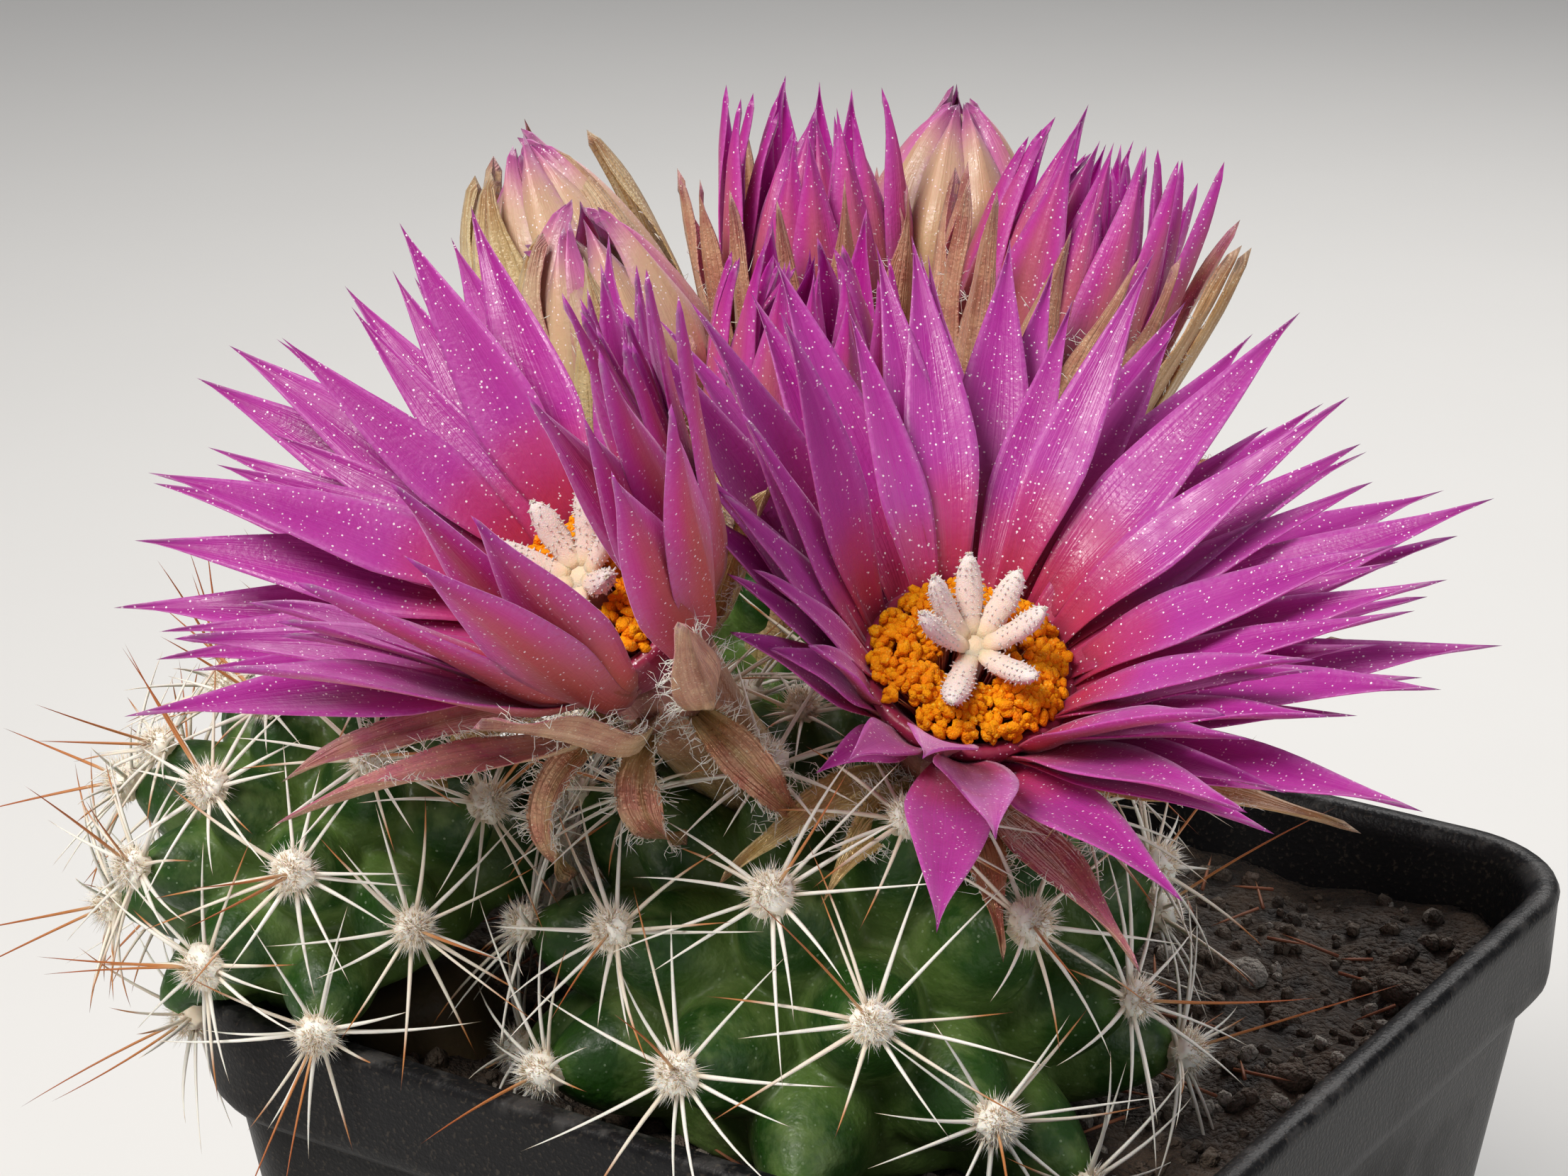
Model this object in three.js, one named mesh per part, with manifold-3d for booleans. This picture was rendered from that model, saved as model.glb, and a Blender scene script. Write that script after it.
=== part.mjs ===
// A potted spinystar cactus: a clump of three spiny heads in a square pot, with two open flowers,
// three half-open ones and three buds. Millimetres, +Z up, origin in the middle of the pot's base.
// The pot's sides run along X and Y. The plant is laid out in a frame of its own, turned about Z:
// there X runs to the right across the flowers' showing side and Y runs away behind them.
import * as THREE from "three";
import { ConvexHull } from "three/addons/math/ConvexHull.js";
import { mergeVertices } from "three/addons/utils/BufferGeometryUtils.js";
import Module from "manifold-3d";

const wasm = await Module();
wasm.setup();

const degree = Math.PI / 180;
const gap = 0.35; // clearance between pieces that touch on the real plant
const plantTurn = 33 * degree; // from the pot's sides to the plant's own frame

// ---- driving dimensions ----
const pot = {
  rimWidth: 60,
  height: 54,
  baseWidth: 44,
  neckWidth: 56.8, // outside, just under the collar
  collarHeight: 6,
  wall: 1.5,
  floor: 2.2,
  corner: 8,
  drainRadius: 3,
  drainPlace: 11,
};
const soil = { top: 49.5, pebbles: 20, pebbleSize: 1.6 };

// A head: where its stem leaves the soil, its lean, the fleshy core and the tubercles on it. spread is
// how far round from the crown the tubercles reach, needle the length of a spine, all else is a radius.
const heads = {
  front: {
    base: [-3, -11.5], lean: [0, 0], core: 12.2, rise: 18, root: 7.5,
    tubercles: 36, reach: 5.8, needle: 8.8, seed: 11, spread: 103,
  },
  left: {
    base: [-26.2, -5], lean: [-0.42, 0.02], core: 8.4, rise: 19.5, root: 4.4,
    tubercles: 30, reach: 4.4, needle: 7.6, seed: 23, spread: 112,
  },
  back: {
    base: [-4, 21], lean: [0, 0.02], core: 11.2, rise: 22, root: 7,
    tubercles: 34, reach: 5.2, needle: 8.4, seed: 37, spread: 106,
  },
};

// A whorl is one ring of tepals. open is the angle from the flower's axis that a tepal settles at,
// curl what its tip adds to it, from is the radius and height where it springs, start the angle there.
const openPetals = [
  { count: 7, open: 58, curl: 4, length: 20.5, width: 4.5, from: [4.75, 3.3], start: 26, shift: 0.0 },
  { count: 10, open: 67, curl: 5, length: 23.5, width: 5.1, from: [4.1, 2.0], start: 34, shift: 0.5 },
  { count: 11, open: 75, curl: 5, length: 25, width: 5.2, from: [3.5, 0.8], start: 44, shift: 0.0 },
];
const openSepals = [
  { count: 9, open: 86, curl: 8, length: 21, width: 4.4, from: [2.5, -2.2], start: 62, shift: 0.5 },
];
const halfPetals = [
  { count: 6, open: 4, curl: -5, length: 15.5, width: 4.2, from: [2.95, 2.3], start: 24, shift: 0.0 },
  { count: 8, open: 10, curl: -3, length: 17.5, width: 4.3, from: [2.85, 1.0], start: 38, shift: 0.5 },
];
const halfSepals = [
  { count: 7, open: 17, curl: 5, length: 17.5, width: 4.1, from: [2.2, -2.0], start: 60, shift: 0.0 },
];
const budPetals = [
  { count: 6, open: -8, curl: -20, length: 13, width: 4.8, from: [2.4, 1.0], start: 44, shift: 0.0 },
];
const budSepals = [
  { count: 6, open: -2, curl: -24, length: 15, width: 5.0, from: [2.2, -1.8], start: 60, shift: 0.5 },
];

// Flowers: foot is where the tube leaves its head, axis the way it points, both in the plant's frame.
// closed draws all tepals in by an angle. wide opens the side at turn by as much as it closes the other.
// folds draw one side together, where a neighbour stands in its way, and stunted shortens petals there.
// bracts are the outermost tepals, each set by hand: turn round the axis, opening, curl and length.
const flowers = {
  right: {
    kind: "open", foot: [1.4, -10.6, 65.2], axis: [0.12, -0.5, 0.857], tube: 11, size: 1.04, seed: 101,
    closed: 4, wide: { turn: 78, by: 11 },
    folds: [{ turn: 162, width: 50, by: 36 }, { turn: -45, width: 70, by: 10 }],
    stunted: [{ turn: 218, width: 42, to: 0.32 }, { turn: -60, width: 70, to: 0.84 }, { turn: 126, width: 36, to: 0.82 }],
    bracts: [
      { turn: -100, open: 150, curl: 40, length: 12 },
      { turn: -146, open: 128, curl: 55, length: 15 },
      { turn: -66, open: 146, curl: 32, length: 15 },
      { turn: -24, open: 112, curl: 40, length: 13 },
      { turn: 70, open: 96, curl: 30, length: 13 },
    ],
  },
  left: {
    kind: "open", foot: [-8.6, -11.9, 67.8], axis: [-0.42, -0.48, 0.77], tube: 15.5, size: 1.02, seed: 202,
    closed: 10, wide: { turn: 140, by: 4 },
    folds: [{ turn: -84, width: 100, by: 50 }, { turn: 28, width: 65, by: 36 }],
    stunted: [{ turn: -60, width: 70, to: 0.88 }, { turn: 50, width: 55, to: 0.68 }, { turn: 185, width: 50, to: 0.87 }],
    bracts: [
      { turn: -110, open: 128, curl: 60, length: 12 },
      { turn: -62, open: 124, curl: 62, length: 13 },
      { turn: -150, open: 104, curl: 45, length: 14 },
      { turn: 175, open: 86, curl: 36, length: 16 },
    ],
  },
  mid: {
    kind: "half", foot: [-6.2, 13.6, 65.5], axis: [0.06, -0.08, 1], tube: 10.5, size: 0.95, seed: 303,
    closed: 0, wide: { turn: 0, by: 0 }, folds: [], stunted: [],
    bracts: [
      { turn: 165, open: 22, curl: 14, length: 14 },
      { turn: 250, open: 26, curl: 20, length: 13 },
      { turn: 300, open: 30, curl: 20, length: 11 },
    ],
  },
  rearLeft: {
    kind: "half", foot: [-3.8, 26.5, 70], axis: [-0.04, 0.05, 1], tube: 9.5, size: 1.0, seed: 404,
    closed: 4, wide: { turn: 0, by: 0 }, folds: [], stunted: [],
    bracts: [
      { turn: 185, open: 34, curl: 14, length: 13 },
      { turn: 100, open: 36, curl: 20, length: 12 },
      { turn: 290, open: 26, curl: 14, length: 12 },
    ],
  },
  rearRight: {
    kind: "half", foot: [4.8, 20.5, 67], axis: [0.28, 0.06, 1], tube: 11.5, size: 1.07, seed: 505,
    closed: 0, wide: { turn: 0, by: 3 }, folds: [], stunted: [],
    bracts: [
      { turn: -12, open: 46, curl: 18, length: 15 },
      { turn: -60, open: 54, curl: 10, length: 14 },
      { turn: 60, open: 40, curl: 20, length: 13 },
    ],
  },
  rearMiddle: {
    kind: "bud", foot: [2.9, 29.3, 68.5], axis: [0.05, 0.1, 1], tube: 14, size: 1.2, seed: 606,
    closed: 0, wide: { turn: 0, by: 0 }, folds: [], stunted: [],
    bracts: [{ turn: 80, open: 22, curl: 8, length: 10 }, { turn: 150, open: 20, curl: 10, length: 10 }],
  },
  tallBud: {
    kind: "bud", foot: [-14.3, 25.5, 67.5], axis: [-0.31, 0.1, 1], tube: 12.4, size: 1.32, seed: 707,
    closed: 0, wide: { turn: 0, by: 0 }, folds: [], stunted: [],
    bracts: [{ turn: 20, open: 24, curl: 8, length: 9 }, { turn: 140, open: 26, curl: 10, length: 9 }],
  },
  smallBud: {
    kind: "bud", foot: [-12.2, 17.2, 65.5], axis: [-0.24, -0.06, 1], tube: 14.6, size: 1.2, seed: 808,
    closed: 0, wide: { turn: 0, by: 0 }, folds: [], stunted: [],
    bracts: [{ turn: -20, open: 20, curl: 12, length: 9 }, { turn: -120, open: 22, curl: 10, length: 8 }],
  },
};

const colours = {
  pot: { color: 0x17181a, roughness: 0.62, metalness: 0 },
  soil: { color: 0x3a2e25, roughness: 0.95, metalness: 0 },
  head: { color: 0x3d7a2c, roughness: 0.55, metalness: 0 },
  petals: { color: 0xc03ab4, roughness: 0.5, metalness: 0 },
  sepals: { color: 0xa5713f, roughness: 0.65, metalness: 0 },
  stamens: { color: 0xf08a00, roughness: 0.8, metalness: 0 },
  stigma: { color: 0xf4e6dc, roughness: 0.7, metalness: 0 },
};

// ---- small helpers ----
// A number from 0 to 1 that is always the same for the same seed and place in the row.
function drawn(seed, index) {
  const wave = Math.sin(seed * 12.9898 + index * 78.233) * 43758.5453;
  return wave - Math.floor(wave);
}

function spreadBy(seed, index, amount) {
  return (drawn(seed, index) * 2 - 1) * amount;
}

function smooth(x) {
  const t = Math.min(1, Math.max(0, x));
  return t * t * (3 - 2 * t);
}

// A closed geometry as a solid, with shared corners merged and flat slivers at a pole left out.
function solidOf(geometry, matrix) {
  const bare = new THREE.BufferGeometry();
  bare.setAttribute("position", geometry.getAttribute("position").clone());
  bare.setIndex(geometry.index ? geometry.index.clone() : null);
  if (matrix) bare.applyMatrix4(matrix);
  const merged = mergeVertices(bare, 1e-4);
  const corners = merged.index.array;
  const kept = [];
  for (let i = 0; i < corners.length; i += 3) {
    const [a, b, c] = [corners[i], corners[i + 1], corners[i + 2]];
    if (a !== b && b !== c && c !== a) kept.push(a, b, c);
  }
  return new wasm.Manifold(
    new wasm.Mesh({
      numProp: 3,
      vertProperties: new Float32Array(merged.getAttribute("position").array),
      triVerts: new Uint32Array(kept),
    }),
  );
}

function geometryOf(solid) {
  const mesh = solid.getMesh();
  const geometry = new THREE.BufferGeometry();
  const places = new Float32Array(mesh.numVert * 3);
  for (let i = 0; i < mesh.numVert; i++) {
    const at = i * mesh.numProp;
    places.set(mesh.vertProperties.subarray(at, at + 3), i * 3);
  }
  geometry.setAttribute("position", new THREE.BufferAttribute(places, 3));
  geometry.setIndex(new THREE.BufferAttribute(new Uint32Array(mesh.triVerts), 1));
  geometry.computeVertexNormals();
  return geometry;
}

function joined(solids) {
  return wasm.Manifold.union(solids);
}

// The largest body of a solid: loose scraps are dropped and a hollow sealed by fusing is filled. Corners
// closer than the fusing tolerance become one.
function wholeOf(solid) {
  const tolerance = 0.06;
  const bodies = solid.simplify(tolerance).decompose();
  return bodies.reduce((best, body) => (body.volume() > best.volume() ? body : best));
}

function meshOf(name, solid, look) {
  const mesh = new THREE.Mesh(geometryOf(solid), new THREE.MeshStandardMaterial(colours[look]));
  mesh.name = name;
  return mesh;
}

// A skin over closed loops of points, all with the same count, from the first to the last.
function loft(loops) {
  const count = loops[0].length;
  const places = [];
  const faces = [];
  loops.forEach((loop) => loop.forEach((p) => places.push(p.x, p.y, p.z)));
  for (let k = 0; k + 1 < loops.length; k++) {
    for (let i = 0; i < count; i++) {
      const next = (i + 1) % count;
      const [a, b] = [k * count + i, k * count + next];
      faces.push(a, b, b + count, a, b + count, a + count);
    }
  }
  const last = (loops.length - 1) * count;
  for (let i = 1; i + 1 < count; i++) {
    faces.push(0, i + 1, i);
    faces.push(last, last + i, last + i + 1);
  }
  const geometry = new THREE.BufferGeometry();
  geometry.setAttribute("position", new THREE.Float32BufferAttribute(places, 3));
  geometry.setIndex(faces);
  return geometry;
}

// A turned solid standing along Z, from a profile of [radius, height] that starts and ends on the axis.
function turned(profile, sides) {
  const points = profile.map(([r, z]) => new THREE.Vector2(r, z));
  return new THREE.LatheGeometry(points, sides).rotateX(Math.PI / 2);
}

function rodAlong(radius, length, sides) {
  return new THREE.CylinderGeometry(radius, radius, length, sides).rotateX(Math.PI / 2);
}

// A matrix that stands Z along a direction, at a point.
function standing(place, direction) {
  const turn = new THREE.Quaternion().setFromUnitVectors(
    new THREE.Vector3(0, 0, 1),
    new THREE.Vector3(...direction).normalize(),
  );
  return new THREE.Matrix4().compose(new THREE.Vector3(...place), turn, new THREE.Vector3(1, 1, 1));
}

// ---- pot and soil ----
function squareLoop(width, corner, z) {
  const stepsPerCorner = 3;
  const loop = [];
  for (let side = 0; side < 4; side++) {
    for (let step = 0; step <= stepsPerCorner; step++) {
      const angle = (side + step / stepsPerCorner) * 90 * degree;
      const middle = (side * 90 + 45) * degree;
      const out = (width / 2 - corner) * Math.SQRT2;
      loop.push(
        new THREE.Vector3(
          out * Math.cos(middle) + corner * Math.cos(angle),
          out * Math.sin(middle) + corner * Math.sin(angle),
          z,
        ),
      );
    }
  }
  return loop;
}

function innerWidth(z) {
  const low = pot.baseWidth - 2 * pot.wall;
  const high = pot.rimWidth - 2 * pot.wall - 1;
  return low + ((high - low) * z) / pot.height;
}

function potSolid() {
  const collarFoot = pot.height - pot.collarHeight;
  const outside = solidOf(
    loft([
      squareLoop(pot.baseWidth, pot.corner - 2, 0),
      squareLoop(pot.neckWidth, pot.corner - 1, collarFoot - 0.8),
      squareLoop(pot.rimWidth - 0.8, pot.corner, collarFoot),
      squareLoop(pot.rimWidth, pot.corner, pot.height - 0.5),
      squareLoop(pot.rimWidth - 0.8, pot.corner - 0.4, pot.height),
    ]),
  );
  const inner = pot.corner - pot.wall - 0.5;
  const inside = solidOf(
    loft([
      squareLoop(innerWidth(pot.floor), inner - 1, pot.floor),
      squareLoop(innerWidth(pot.height + 2), inner, pot.height + 2),
    ]),
  );
  const drains = [-1, 1].flatMap((x) =>
    [-1, 1].map((y) =>
      solidOf(
        rodAlong(pot.drainRadius, 4 * pot.floor, 12).translate(x * pot.drainPlace, y * pot.drainPlace, 0),
      ),
    ),
  );
  return outside.subtract(joined([inside, ...drains]));
}

// The room that the pot takes, a little enlarged, which the plant is cut back from.
function potRoom() {
  const collarFoot = pot.height - pot.collarHeight;
  const outside = solidOf(
    loft([
      squareLoop(pot.neckWidth, pot.corner, collarFoot - 8),
      squareLoop(pot.rimWidth + 2 * gap, pot.corner, collarFoot - 1),
      squareLoop(pot.rimWidth + 2 * gap, pot.corner, pot.height + gap),
    ]),
  );
  const inner = pot.corner - pot.wall - 0.5;
  const inside = solidOf(
    loft([
      squareLoop(innerWidth(collarFoot - 9) - 2 * gap, inner, collarFoot - 9),
      squareLoop(innerWidth(pot.height + 2) - 2 * gap, inner, pot.height + 2),
    ]),
  );
  return outside.subtract(inside);
}

// Height of the soil's loose top, gently uneven.
function soilHeight(x, y) {
  return soil.top + 0.5 * Math.sin(x * 0.31 + 0.8) * Math.cos(y * 0.27 - 0.4) + 0.25 * Math.sin(x * 0.9 + y * 0.7);
}

function soilSolid(holes) {
  const inner = pot.corner - pot.wall - 0.5 - gap;
  const widest = innerWidth(soil.top) - 2 * gap;
  const top = [1, 0.72, 0.4].map((share) => {
    const loop = squareLoop(widest * share, inner * share, 0);
    loop.forEach((p) => (p.z = soilHeight(p.x, p.y)));
    return loop;
  });
  const low = pot.floor + gap;
  const bed = solidOf(loft([squareLoop(innerWidth(low) - 2 * gap, inner - 1, low), ...top]));
  const pebbles = [];
  for (let i = 0; i < soil.pebbles; i++) {
    const half = widest / 2 - 2.6;
    const [x, y] = [spreadBy(5, i, half), spreadBy(6, i, half)];
    const size = soil.pebbleSize * (0.55 + 0.7 * drawn(7, i));
    const stone = new THREE.OctahedronGeometry(size, 0);
    stone.scale(1, 0.8, 0.62).rotateX(drawn(8, i) * 0.6).rotateZ(drawn(9, i) * 3);
    pebbles.push(solidOf(stone.translate(x, y, soilHeight(x, y) + size * 0.12)));
  }
  return wholeOf(joined([bed, ...pebbles]).subtract(joined(holes)));
}

// ---- tepals ----
// The middle line of a tepal as [radius, height] points from its root to its tip.
function tepalLine(whorl, open, length, stations) {
  const bend = 8; // mm from the root over which a tepal turns outwards
  const steps = 40;
  const line = [[whorl.from[0], whorl.from[1]]];
  const angles = [whorl.start * degree];
  let [r, z] = whorl.from;
  for (let i = 1; i <= steps; i++) {
    const along = i / steps;
    const angle = whorl.start + (open - whorl.start) * smooth((along * length) / bend) + whorl.curl * along ** 2;
    r += (Math.sin(angle * degree) * length) / steps;
    z += (Math.cos(angle * degree) * length) / steps;
    line.push([r, z]);
    angles.push(angle * degree);
  }
  return stations.map((along) => {
    const at = Math.round(along * steps);
    return { r: line[at][0], z: line[at][1], angle: angles[at], along };
  });
}

// Share of a tepal's full width along it: a narrow claw, widest before the middle, a long drawn-out tip.
function tepalWidth(along) {
  const widest = 0.42;
  if (along < widest) return 0.4 + 0.6 * smooth(along / widest);
  const past = (along - widest) / (1 - widest);
  return (1 - past) ** 0.9 * (1 + 0.6 * past);
}

// A tepal as a thin keeled blade: two edges and a keel under the midrib, meeting in a point.
function tepal(whorl, turn, open, length, width, stations) {
  const thick = 0.8;
  const line = tepalLine(whorl, open, length, stations);
  const [c, s] = [Math.cos(turn), Math.sin(turn)];
  const place = (r, side, z) => [r * c - side * s, r * s + side * c, z];
  const loops = line.slice(0, -1).map((p) => {
    const half = (width / 2) * tepalWidth(p.along);
    const keel = thick * (1 - 0.3 * p.along);
    const keelAt = [p.r + keel * Math.cos(p.angle), p.z - keel * Math.sin(p.angle)];
    return [place(p.r, -half, p.z), place(p.r, half, p.z), place(keelAt[0], 0, keelAt[1])];
  });
  const tip = line[line.length - 1];
  const places = [...loops.flat(), place(tip.r, 0, tip.z)];
  const sides = 3;
  const faces = [0, 1, 2];
  for (let k = 0; k + 1 < loops.length; k++) {
    for (let i = 0; i < sides; i++) {
      const [a, b] = [k * sides + i, k * sides + ((i + 1) % sides)];
      faces.push(a, b + sides, b, a, a + sides, b + sides);
    }
  }
  const last = (loops.length - 1) * sides;
  for (let i = 0; i < sides; i++) faces.push(last + i, places.length - 1, last + ((i + 1) % sides));
  const geometry = new THREE.BufferGeometry();
  geometry.setAttribute("position", new THREE.Float32BufferAttribute(places.flat(), 3));
  geometry.setIndex(faces);
  return geometry;
}

// The angle between two turns round an axis, from -180 to 180 degrees.
function turnBetween(a, b) {
  return ((((a - b) % 360) + 540) % 360) - 180;
}

// 1 in the middle of an arc round the axis, falling to 0 at its ends.
function within(arc, turn) {
  const apart = turnBetween(turn, arc.turn) / arc.width;
  return Math.max(0, 1 - apart * apart);
}

function openingAt(flower, turn) {
  const folded = flower.folds.reduce((sum, fold) => sum + fold.by * within(fold, turn), 0);
  return flower.wide.by * Math.cos((turn - flower.wide.turn) * degree) - flower.closed - folded;
}

function boxesMeet(a, b) {
  return [0, 1, 2].every((k) => a.min[k] <= b.max[k] + gap && b.min[k] <= a.max[k] + gap);
}

function clearOf(solid, others) {
  const box = solid.boundingBox();
  return others.every((other) => !boxesMeet(box, other.boundingBox()) || solid.minGap(other, 1) > gap);
}

// A tepal that would cross a neighbour bends away from it, a little more at each try, or stays short.
function clearTepal(make, matrix, others) {
  const bends = [0, -5, 5, -10, 10, -16, 16, -23, 23, -30];
  for (const share of [1, 0.8, 0.6]) {
    for (const bend of bends) {
      const geometry = make(bend, share);
      if (clearOf(solidOf(geometry, matrix), others)) return [solidOf(geometry)];
    }
  }
  return [];
}

function whorlSolids(flower, whorls, stations, matrix, others) {
  return whorls.flatMap((whorl, ring) =>
    Array.from({ length: whorl.count }, (_, i) => {
      const key = ring * 40 + i;
      const turn = ((i + whorl.shift) * 360) / whorl.count + spreadBy(flower.seed, key, 4);
      const open = whorl.open + openingAt(flower, turn) + spreadBy(flower.seed + 1, key, 1.6);
      const grown = flower.stunted.reduce((share, arc) => share * (1 - (1 - arc.to) * within(arc, turn)), 1);
      const length = whorl.length * flower.size * grown * (1 + spreadBy(flower.seed + 2, key, 0.07));
      const width = whorl.width * flower.size * Math.sqrt(grown);
      const make = (bend, share) => tepal(whorl, turn * degree, open + bend, length * share, width, stations);
      return clearTepal(make, matrix, others);
    }).flat(),
  );
}

function bractSolids(flower, matrix, others) {
  const springs = { from: [2.3, -3.6], start: 60 };
  return flower.bracts.flatMap((b) => {
    const make = (bend, share) =>
      tepal({ ...springs, curl: b.curl }, b.turn * degree, b.open + bend, b.length * share, 3.3, [0, 0.3, 0.66, 1]);
    return clearTepal(make, matrix, others);
  });
}

// ---- flowers, built along +Z with the top of the tube at the origin ----
const kinds = {
  open: { petals: openPetals, sepals: openSepals, cup: [[3.4, 0], [5.6, 4.4]], stations: [0, 0.2, 0.46, 0.76, 1] },
  half: { petals: halfPetals, sepals: halfSepals, cup: [[3.2, 0], [3.7, 3.6]], stations: [0, 0.34, 0.7, 1] },
  bud: { petals: budPetals, sepals: budSepals, cup: [[3.0, 0], [3.2, 2.4]], stations: [0, 0.3, 0.6, 1] },
};

function flowerMatrix(flower) {
  const axis = new THREE.Vector3(...flower.axis).normalize();
  const place = new THREE.Vector3(...flower.foot).addScaledVector(axis, flower.tube - 3);
  return standing(place.toArray(), axis.toArray());
}

function tubeProfile(flower, extra) {
  const [foot, top] = [2.6 + extra, 3.3 + extra];
  return [[0, -flower.tube], [foot, -flower.tube], [foot, -flower.tube * 0.5], [top, -gap], [0, -gap]];
}

// The outer skin of a flower's cup, or of a bud's closed belly.
function cupProfile(flower) {
  const kind = kinds[flower.kind];
  const [[lowR, lowZ], [highR, highZ]] = kind.cup;
  if (flower.kind !== "bud") return [[0, lowZ], [lowR, lowZ], [highR, highZ], [0, highZ]];
  const length = kind.petals[0].length * flower.size;
  const belly = 3.4 * flower.size;
  return [[0, 0], [lowR, 0], [belly, 0.3 * length], [0.9 * belly, 0.55 * length], [0.5 * belly, 0.8 * length], [0, 0.9 * length]];
}

// The room that a flower's tube and cup take in the plant, with some clearance round them.
function stalkRoom(flower, clearance) {
  const tube = turned(tubeProfile({ tube: flower.tube + clearance }, clearance), 8);
  const cup = turned(cupProfile(flower).map(([r, z]) => [r > 0 ? r + clearance : 0, z > 1 ? z + clearance : z - clearance]), 12);
  return joined([tube, cup].map((room) => solidOf(room, flowerMatrix(flower))));
}

function petalSolid(flower, matrix, others) {
  const kind = kinds[flower.kind];
  const blades = whorlSolids(flower, kind.petals, kind.stations, matrix, others);
  const cup = solidOf(turned(cupProfile(flower), 12));
  if (flower.kind === "bud") return wholeOf(joined([cup, ...blades]));
  const [[lowR, lowZ], [highR, highZ]] = kind.cup;
  const wall = 0.9;
  const bore = [[0, lowZ + wall], [lowR - wall, lowZ + wall], [highR - wall, highZ], [highR - wall, 60], [0, 60]];
  return wholeOf(joined([cup, ...blades]).subtract(solidOf(turned(bore, 12))));
}

function sepalSolid(flower, matrix, others) {
  const kind = kinds[flower.kind];
  const tube = solidOf(turned(tubeProfile(flower, 0), 8));
  const blades = whorlSolids(flower, kind.sepals, [0, 0.3, 0.66, 1], matrix, others);
  return wholeOf(joined([tube, ...blades, ...bractSolids(flower, matrix, others)]));
}

// A dense ring of stamens: a slim funnel of filaments with the anthers standing out of its top.
function stamenSolid(flower) {
  const open = flower.kind === "open";
  const [foot, top, height] = open ? [1.9, 3.7, 4.3] : [1.5, 2.1, 5.2];
  const low = 0.9 + gap;
  const hole = 1.25;
  const funnel = [[hole, low], [foot, low], [top, height], [hole + 0.1, height - 0.5], [hole, low]];
  const rows = open ? [[2.2, 4, 4.1], [3.5, 9, 4.4]] : [[1.75, 3, 5.2]];
  const anthers = rows.flatMap(([radius, count, z], row) =>
    Array.from({ length: count }, (_, i) => {
      const turn = ((i + 0.5 * row) / count) * 2 * Math.PI + spreadBy(flower.seed + 7, row * 30 + i, 0.08);
      const at = radius + spreadBy(flower.seed + 8, row * 30 + i, 0.12);
      const lump = new THREE.OctahedronGeometry(0.95, 0);
      lump.rotateX(drawn(flower.seed, i) * 2).rotateZ(drawn(flower.seed, i + 9) * 3);
      lump.translate(at * Math.cos(turn), at * Math.sin(turn), z + spreadBy(flower.seed + 9, i, 0.25));
      return solidOf(lump);
    }),
  );
  return wholeOf(joined([solidOf(turned(funnel, 8)), ...anthers]));
}

// The style with its spreading, slightly upcurved lobes.
function stigmaSolid(flower) {
  const lobes = 8;
  const neck = 6.1;
  const base = 0.9 + gap;
  const style = solidOf(turned([[0, base], [0.6, base], [0.65, neck - 0.5], [0.95, neck + 0.25], [0, neck + 0.5]], 6));
  const arms = Array.from({ length: lobes }, (_, i) => {
    const turn = ((i + spreadBy(flower.seed + 5, i, 0.14)) / lobes) * 2 * Math.PI;
    const open = (54 + spreadBy(flower.seed + 6, i, 9)) * degree;
    const arm = new THREE.CylinderGeometry(0.42, 0.5, 3.6, 4).translate(0, 1.8, 0);
    arm.rotateX(Math.PI / 2).rotateY(open).translate(0.25, 0, neck).rotateZ(turn);
    return solidOf(arm);
  });
  return wholeOf(joined([style, ...arms]));
}

// All the nodes of one flower as a group, and the same solids placed in the plant's frame.
function flowerGroup(name, flower, others) {
  const matrix = flowerMatrix(flower);
  const petals = petalSolid(flower, matrix, others);
  const petalsPlaced = solidOf(geometryOf(petals), matrix);
  const sepals = sepalSolid(flower, matrix, [...others, petalsPlaced]);
  const group = new THREE.Group();
  matrix.decompose(group.position, group.quaternion, group.scale);
  group.add(meshOf(`flower_${name}_sepals`, sepals, "sepals"));
  group.add(meshOf(`flower_${name}_petals`, petals, "petals"));
  if (flower.kind !== "bud") group.add(meshOf(`flower_${name}_stamens`, stamenSolid(flower), "stamens"));
  if (flower.kind === "open") group.add(meshOf(`flower_${name}_stigma`, stigmaSolid(flower), "stigma"));
  return { group, solids: [petalsPlaced, solidOf(geometryOf(sepals), matrix)] };
}

// ---- heads ----
function headMatrix(head) {
  return standing([head.base[0], head.base[1], soil.top], [...head.lean, 1]);
}

const stretch = 1.08; // a head is taller than wide

function middleOf(head) {
  return head.rise - head.core * stretch;
}

// A point over the head's core: out along a direction from its middle, at a height above the core.
function overCore(head, way, height) {
  const r = head.core + height;
  return new THREE.Vector3(way.x * r, way.y * r, middleOf(head) + way.z * r * stretch);
}

function onSphere(turn, polar) {
  return new THREE.Vector3().setFromSphericalCoords(1, polar, turn).applyAxisAngle(new THREE.Vector3(1, 0, 0), Math.PI / 2);
}

// Where each tubercle springs, as a direction from the head's middle: turns of the golden angle from
// the crown down. Young tubercles at the crown are smaller.
function tubercleSeats(head) {
  const golden = 137.508 * degree;
  return Array.from({ length: head.tubercles }, (_, i) => {
    const share = ((i + 0.5) / head.tubercles) ** 1.08;
    const polar = Math.acos(1 - (1 - Math.cos(head.spread * degree)) * share);
    const grown = 0.62 + 0.38 * smooth(polar / (55 * degree));
    return { way: onSphere(i * golden + head.seed, polar), reach: head.reach * grown, index: i };
  });
}

// The corners, as indices, of the triangles between directions that cover the whole sphere.
function trianglesBetween(ways) {
  const places = new Map(ways.map((way, i) => [way, i]));
  return new ConvexHull().setFromPoints(ways).faces.map((face) => {
    const first = face.edge;
    return [first, first.next, first.next.next].map((edge) => places.get(edge.head().point));
  });
}

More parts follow.
